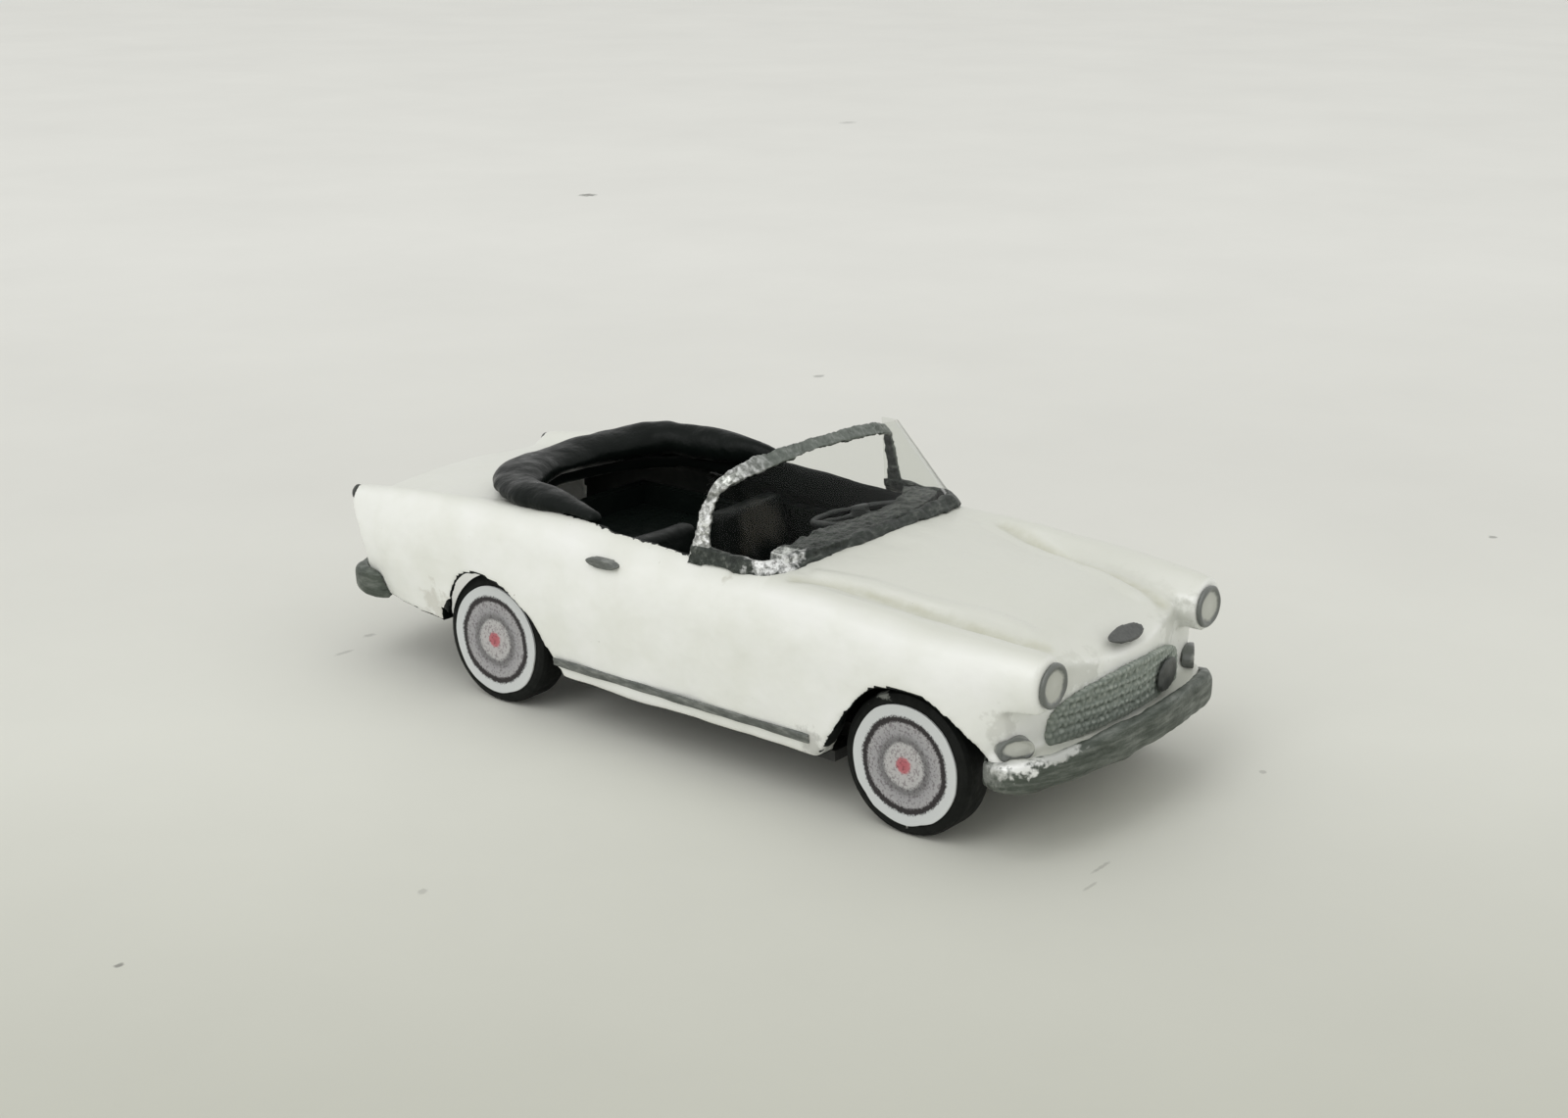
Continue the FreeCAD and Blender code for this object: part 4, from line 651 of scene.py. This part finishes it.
# The bonnet's raised panel: lines in plan along its edges, first the hollows and then the ridges.
HOLLOWS = (
    ((-7.1, -7.5), (-6.0, -9.0), (-5.4, -10.8), (-5.2, -12.8), (-5.2, -15.6), (-5.2, -17.7),
     (-4.4, -18.9)),
    ((6.6, -9.6), (6.3, -11.2), (5.3, -14.2), (4.8, -15.3), (4.75, -18.4), (4.5, -19.5)),
)
RIDGES = (
    ((-5.7, -7.9), (-4.7, -10.1), (-4.4, -13.2), (-4.0, -15.5), (-3.9, -17.8)),
    ((6.2, -9.0), (5.6, -11.5), (4.7, -14.5), (4.2, -16.5), (3.8, -18.5)),
)
CREASE_WIDTH = 0.62
CREASE_DEPTH = 0.13
# The bonnet's least height and its rear end.
BONNET_HEIGHT = 7.9
BONNET_REAR = -7.0


def closeness(place, lines):
    """How close a point of the bonnet is in plan to the nearest of some lines, from 0 to 1."""
    if place.z < BONNET_HEIGHT or place.y > BONNET_REAR:
        return 0.0
    best = CREASE_WIDTH
    for line in lines:
        for first, second in zip(line, line[1:]):
            start = Vector(first)
            run = Vector(second) - start
            offset = Vector((place.x, place.y)) - start
            share = max(0.0, min(1.0, offset.dot(run) / run.length_squared))
            best = min(best, (offset - run * share).length)
    return (1 - (best / CREASE_WIDTH) ** 2) ** 2


# Painted shade on the surfaces that face up begins at this upward facing, is full at this much
# more, and has these strengths on the bonnet and behind it.
TOP_SHADE_FACING = 0.55
TOP_SHADE_FADE = 0.4
TOP_SHADE_BONNET = 0.8
TOP_SHADE_REAR = 0.62


def top_shade_share(place, normal):
    """The share of painted shade on the surfaces that face up, most on the bonnet."""
    share = max(0.0, min(1.0, (normal.z - TOP_SHADE_FACING) / TOP_SHADE_FADE))
    return share * (TOP_SHADE_BONNET if place.y < COCKPIT_FRONT else TOP_SHADE_REAR)


def painted_body(paint):
    """The body shell, softened as by thick paint, with the creases of its bonnet."""
    piece = remade("painted_body", "body_shell", 0.165, 3, paint)
    uneven(piece, (4.0, 0.10), (1.3, 0.035))
    for vertex in piece.data.vertices:
        place = vertex.co / MM
        rise = closeness(place, RIDGES) - closeness(place, HOLLOWS)
        vertex.co.z += rise * CREASE_DEPTH * MM
    points_attribute(piece, "inside", blackness)
    points_attribute(piece, "hollow", lambda place, normal: closeness(place, HOLLOWS))
    points_attribute(piece, "top_shade", top_shade_share)
    fitted(piece, "car", "white_paint", "body_shell")


# A reach along the car so long that a lamp's depth hardly counts in its ring.
LAMP_DEPTH = 9.0


def lens_reach(centre, radii):
    """A measure of how far a point is from a lamp's middle, as a share of the lamp's radii."""
    def measure(place, normal):
        offsets = [(part - middle) / radius for part, middle, radius in zip(place, centre, radii)]
        return math.hypot(*offsets)
    return measure


def drawn_lamps(material):
    """Headlamps and side lights drawn by hand on the paint."""
    for node in ("headlamp_left", "headlamp_right", "sidelight_left", "sidelight_right"):
        low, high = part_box(node)
        middle = (low + high) / 2 / MM
        half = (high - low) / 2 / MM
        piece = remade(node + "_drawn", node, 0.06, 2, material)
        uneven(piece, (0.8, 0.05))
        points_attribute(piece, "reach", lens_reach(middle, (half.x, LAMP_DEPTH, half.z)))
        fitted(piece, "car", "lamp_lens", node)


# The net over the grille: its pitch across and up, the height of its crests, how often and how
# far its threads wander, the mean of the threads' product, and how its relief varies.
GRILLE_PITCH = (0.30, 0.27)
GRILLE_RELIEF = 0.06
WARP_PITCH = 0.7
WARP_REACH = 0.25
CREST_MEAN = 0.4
CREST_PITCH = 2.1
CREST_SHARES = (0.6, 0.4)
# The relief that leaves the surface where it was.
GRILLE_LEVEL = 0.6


def relief_of(place):
    """Height from about 0 to 1 of the grille's irregular woven relief."""
    warp = noise.noise(place * WARP_PITCH) * WARP_REACH
    row = (place.z + warp) / GRILLE_PITCH[1]
    across = math.sin((place.x / GRILLE_PITCH[0] + math.floor(row) * 0.5 + warp) * math.pi)
    up = math.sin(row * math.pi)
    even, varying = CREST_SHARES
    strength = even + noise.noise(place * CREST_PITCH) * varying
    return 0.5 + (abs(across) * abs(up) - CREST_MEAN) * strength


def woven_grille(material):
    """The grille with the relief of a coarse woven net under paint."""
    piece = remade("woven_grille", "grille", 0.07, 2, material)
    points_attribute(piece, "relief", lambda place, normal: relief_of(place))
    normals = [vertex.normal.copy() for vertex in piece.data.vertices]
    for vertex, normal in zip(piece.data.vertices, normals):
        height = relief_of(vertex.co / MM) - GRILLE_LEVEL
        vertex.co += normal * (height * GRILLE_RELIEF * MM)
    fitted(piece, "car", "grille_grey", "grille")


# The paper discs' cut edge: its corners, the points from one corner to the next, and the share
# of the radius that a corner is cut short by at most.
DISC_CORNERS = 26
DISC_STEPS = 8
DISC_CUT = 0.022
# Cross section of the paper disc from its back edge to its front: share of its thickness from
# the middle, share of its radius.
DISC_EDGE_SHARES = ((-0.5, 1.0), (0.35, 1.0), (0.5, 0.985), (0.5, 0.5))


def wheel_disc(node, body, material):
    """A paper disc with its print, cut out by hand, so that its edge is slightly cornered."""
    low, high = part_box(node)
    centre = (low + high) / 2
    radius = (high.z - low.z) / 2
    outward = math.copysign(1, centre.x)
    seed = centre / MM
    cuts = [
        1 - DISC_CUT * (0.5 + noise.noise(Vector((corner * 0.9, seed.x, seed.y))))
        for corner in range(DISC_CORNERS)
    ]
    steps = DISC_CORNERS * DISC_STEPS
    mesh = bmesh.new()
    rings = []
    for depth, share in DISC_EDGE_SHARES:
        ring = []
        for step in range(steps):
            corner, part = divmod(step, DISC_STEPS)
            part /= DISC_STEPS
            reach = cuts[corner] * (1 - part) + cuts[(corner + 1) % DISC_CORNERS] * part
            angle = math.tau * step / steps
            ring.append(mesh.verts.new((
                outward * depth * (high.x - low.x),
                math.cos(angle) * radius * reach * share,
                math.sin(angle) * radius * reach * share,
            )))
        rings.append(ring)
    for first, second in zip(rings, rings[1:]):
        for here in range(steps):
            ahead = (here + 1) % steps
            mesh.faces.new((first[here], first[ahead], second[ahead], second[here]))
    mesh.faces.new(rings[-1])
    mesh.faces.new(rings[0][::-1])
    bmesh.ops.recalc_face_normals(mesh, faces=mesh.faces)
    data = bpy.data.meshes.new(node + "_print")
    mesh.to_mesh(data)
    mesh.free()
    piece = linked(node + "_print", data, material)
    for polygon in data.polygons:
        polygon.use_smooth = False
    piece.location = centre
    fitted(piece, body, "printed_paper", node)


def hand_made(name, node, voxel, relax, material, slot, *lumps):
    """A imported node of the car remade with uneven, hand-worked surfaces."""
    piece = remade(name, node, voxel, relax, material)
    uneven(piece, *lumps)
    fitted(piece, "car", slot, node)
    return piece


def reshaped(piece, move):
    """Move each point of a piece by a rule from its place in millimetres."""
    for vertex in piece.data.vertices:
        vertex.co = move(vertex.co / MM) * MM


# The front bumper's rise: its half width, how far it goes in the middle, and how much further
# above a line along the bar.
BUMPER_HALF = 7.5
BUMPER_RISE = 0.28
BUMPER_GROWTH = 0.22
BUMPER_LINE = 4.2
# The bumper's far end: where it begins, and the shares that it is shortened and sinks by.
BUMPER_END = 6.0
BUMPER_END_IN = 0.14
BUMPER_END_DOWN = 0.12


def raised_middle(place):
    """The front bumper is taller and higher in its middle, and its far end is tucked in."""
    middle = max(0.0, 1 - (place.x / BUMPER_HALF) ** 2)
    far = max(0.0, place.x - BUMPER_END)
    lift = (BUMPER_RISE + (BUMPER_GROWTH if place.z > BUMPER_LINE else 0.0)) * middle
    return Vector((
        place.x - far * BUMPER_END_IN,
        place.y,
        place.z + lift - far * BUMPER_END_DOWN,
    ))


# The hood roll's far arm: where it begins, the width over which its rise sets in, the height
# that stays where it is, and the rise as a share of the height over that.
ARM_START = 1.0
ARM_FADE = 4.0
ARM_FOOT = 9.6
ARM_RISE = 0.38


def raised_far_arm(place):
    """The hood roll stands a little higher on its far arm."""
    share = max(0.0, min(1.0, (place.x - ARM_START) / ARM_FADE))
    return place + Vector((0, 0, ARM_RISE * share * max(0.0, place.z - ARM_FOOT)))


# The bonnet's badge: height of its node's middle, its own height and shift, how much wider it
# is, and how it grows and sinks with each millimetre across.
BADGE_MIDDLE = 8.15
BADGE_HEIGHT = 8.42
BADGE_SHIFT = Vector((-0.12, -0.05, 0.0))
BADGE_WIDENING = 1.42
BADGE_TAPER = 0.35
BADGE_LEAN = 0.06


def tapered_badge(place):
    """The bonnet's badge tapers to one side and leans."""
    growth = 1.0 + BADGE_TAPER * place.x
    height = (place.z - BADGE_MIDDLE) * growth + BADGE_HEIGHT - BADGE_LEAN * place.x
    return Vector((place.x * BADGE_WIDENING, place.y, height)) + BADGE_SHIFT


# The grille's emblem: place across and height of its node's middle and of its own, how much
# larger it is across and up, and how far it stands out.
EMBLEM_FROM = (4.4, 5.63)
EMBLEM_TO = (4.15, 5.78)
EMBLEM_GROWTH = (1.35, 1.12)
EMBLEM_PROUD = 0.16


def proud_emblem(place):
    """The grille's emblem stands out of the net and reaches further to one side."""
    across = (place.x - EMBLEM_FROM[0]) * EMBLEM_GROWTH[0] + EMBLEM_TO[0]
    height = (place.z - EMBLEM_FROM[1]) * EMBLEM_GROWTH[1] + EMBLEM_TO[1]
    return Vector((across, place.y - EMBLEM_PROUD, height))


STEERING_CENTRE = Vector((3.73, -1.95, 8.0))
STEERING_LEAN = Matrix.Rotation(math.radians(52), 3, "X")
STEERING_SHIFT = Vector((0.55, -0.8, 1.35))
STEERING_GROWTH = 1.06


def leaned_back(place):
    """The steering wheel stands higher and at another lean than its node does."""
    turned = STEERING_LEAN @ (place - STEERING_CENTRE) * STEERING_GROWTH
    return turned + STEERING_CENTRE + STEERING_SHIFT


# The dark crumpled silver behind the screen's foot: points of its front and of its rear edge.
PAD_EDGES = (
    ((-6.6, -6.5, 10.45), (-5.9, -5.1, 10.30)), ((-4.9, -6.7, 10.42), (-4.6, -5.2, 10.36)),
    ((-3.2, -6.8, 10.40), (-3.0, -4.9, 10.36)), ((-1.9, -6.8, 10.40), (-1.6, -4.7, 10.34)),
    ((0.1, -6.7, 10.40), (0.3, -4.9, 10.34)), ((2.4, -6.5, 10.38), (2.6, -5.0, 10.32)),
    ((4.7, -6.2, 10.38), (4.8, -4.6, 10.32)), ((6.3, -5.8, 10.38), (6.2, -3.9, 10.34)),
    ((7.2, -5.2, 10.35), (6.9, -3.3, 10.32)),
)
PAD_THICKNESS = 0.5
# The foil strip along the screen's edge from its near foot over the top to its far foot: points
# of its outer edge and of its inner edge.
STRIP_EDGES = (
    ((-7.60, -1.72, 10.05), (-7.45, -2.80, 10.35)), ((-7.43, -1.85, 10.80), (-7.36, -2.76, 10.90)),
    ((-7.25, -1.95, 11.50), (-7.18, -2.63, 11.65)), ((-7.05, -2.05, 12.36), (-7.00, -2.72, 12.45)),
    ((-6.92, -2.20, 13.00), (-6.80, -3.00, 13.20)), ((-6.72, -2.50, 13.60), (-6.30, -3.50, 13.63)),
    ((-6.30, -2.95, 14.10), (-5.60, -3.55, 13.70)), ((-5.10, -3.05, 14.30), (-4.85, -3.60, 13.75)),
    ((-2.90, -3.05, 14.38), (-3.00, -3.55, 13.87)), ((-0.10, -3.05, 14.36), (-0.35, -3.50, 13.98)),
    ((3.00, -3.05, 14.28), (2.50, -3.50, 13.90)), ((4.60, -3.05, 14.20), (4.30, -3.60, 13.74)),
    ((5.30, -3.00, 14.00), (5.10, -3.50, 13.60)), ((6.25, -2.62, 13.48), (6.35, -2.95, 13.15)),
    ((6.80, -2.22, 13.00), (6.75, -2.65, 12.85)), ((6.95, -2.20, 12.60), (6.95, -2.60, 12.50)),
    ((7.20, -2.20, 11.50), (7.12, -2.72, 11.75)), ((7.50, -1.90, 10.15), (7.42, -2.90, 10.60)),
)
STRIP_THICKNESS = 0.2
# How often the faces between the edges' points are halved.
RIBBON_LEVELS = 3


def ribbon(name, edges, thickness, material):
    """A strip of crumpled foil between two edges, given as pairs of points."""
    mesh = bmesh.new()
    rows = [[mesh.verts.new(Vector(point) * MM) for point in pair] for pair in edges]
    for first, second in zip(rows, rows[1:]):
        mesh.faces.new((first[0], second[0], second[1], first[1]))
    data = bpy.data.meshes.new(name + "_outline")
    mesh.to_mesh(data)
    mesh.free()
    strip = linked(name + "_outline", data, material)
    fine = strip.modifiers.new("fine", "SUBSURF")
    fine.levels = RIBBON_LEVELS
    fine.render_levels = RIBBON_LEVELS
    fine.boundary_smooth = "PRESERVE_CORNERS"
    thick = strip.modifiers.new("thick", "SOLIDIFY")
    thick.thickness = thickness * MM
    thick.offset = 0
    piece = evened(name, strip, 0.06, 2, material)
    uneven(piece, (0.9, 0.10), (0.35, 0.06), (0.15, 0.03))
    return piece


camera()
stage_and_light()
white = white_paint()
silver = silver_paint()
bumper_silver = bumper_paint()
black = black_paint()
bright_foil = foil()
scuttle = scuttle_silver()
tyre_black = rubber()
clear_film = film()
rings = printed_rings()
lens = outlined_lens()
woven = woven_grey()
dark_oval = plain("dark_oval", (0.055, 0.06, 0.055), 0.45, 0.0, 0.2)
grey_oval = plain("grey_oval", (0.085, 0.09, 0.085), 0.45, 0.2, 0.2)
steel = plain("steel", (0.3, 0.3, 0.3), 0.4, 0.9)
worn_black = plain("worn_black", (0.022, 0.026, 0.024), 0.5)
# The chassis card is painted near black as shade under the car, though the card is pale.
shade_dark_card = plain("shade_dark_card", (0.035, 0.036, 0.034), 0.7)

SLOT_MATERIALS = {
    "white_paint": white, "silver_paint": silver, "foil": bright_foil, "black_interior": black,
    "film": clear_film, "tyre": tyre_black, "wheel": tyre_black, "printed_paper": rings,
    "steel": steel, "chassis": shade_dark_card, "lamp_lens": lens, "grille_grey": woven,
    "dark_emblem": dark_oval,
}
for row in frame["record"]["subparts"]:
    mesh = nodes[row["node"]].data
    mesh.materials.clear()
    mesh.materials.append(SLOT_MATERIALS[row["material_slot"]])

painted_body(white)
hood_roll = hand_made("hood_roll", "hood_cover", 0.12, 6, black, "black_interior",
                      (3.0, 0.22), (1.2, 0.08))
reshaped(hood_roll, raised_far_arm)
hand_made("scuttle_foil", "windscreen_base_foil", 0.08, 3, scuttle, "silver_paint",
          (1.0, 0.12), (0.35, 0.05))
screen_foil = ribbon("screen_foil", STRIP_EDGES, STRIP_THICKNESS, bright_foil)
fitted(screen_foil, "car", "foil", "windscreen_frame")
scuttle_pad = ribbon("scuttle_pad", PAD_EDGES, PAD_THICKNESS, scuttle)
fitted(scuttle_pad, "car", "silver_paint")
front_bumper = hand_made("front_bumper_brushed", "front_bumper", 0.11, 5, bumper_silver,
                         "silver_paint", (2.2, 0.12), (0.7, 0.04))
reshaped(front_bumper, raised_middle)
hand_made("rear_bumper_brushed", "rear_bumper", 0.11, 5, bumper_silver, "silver_paint",
          (1.6, 0.16), (0.6, 0.06))
hand_made("dash_top", "dashboard", 0.14, 4, black, "black_interior", (2.0, 0.12))
for side in ("left", "right"):
    hand_made("seat_shape_" + side, "seat_" + side, 0.14, 8, black, "black_interior", (2.5, 0.10))
bonnet_oval = hand_made("bonnet_oval", "bonnet_badge", 0.06, 3, grey_oval, "silver_paint",
                        (0.6, 0.05))
reshaped(bonnet_oval, tapered_badge)
grille_oval = hand_made("grille_oval", "grille_badge", 0.06, 3, dark_oval, "dark_emblem",
                        (0.6, 0.05))
reshaped(grille_oval, proud_emblem)
steering_ring = hand_made("steering_ring", "steering_wheel", 0.09, 1, worn_black,
                          "black_interior", (1.0, 0.08))
reshaped(steering_ring, leaned_back)
for side in ("left", "right"):
    hand_made("handle_" + side, "door_handle_" + side, 0.06, 3, silver, "silver_paint",
              (0.7, 0.05))
    hand_made("sill_strip_" + side, "sill_trim_" + side, 0.05, 1, silver, "silver_paint",
              (1.5, 0.05))
    hand_made("tail_mark_" + side, "tail_lamp_" + side, 0.05, 2, dark_oval, "dark_emblem",
              (0.5, 0.04))
    for end in ("front", "rear"):
        wheel_disc(f"{end}_wheel_disc_{side}", f"{end}_wheels", rings)
drawn_lamps(lens)
woven_grille(woven)
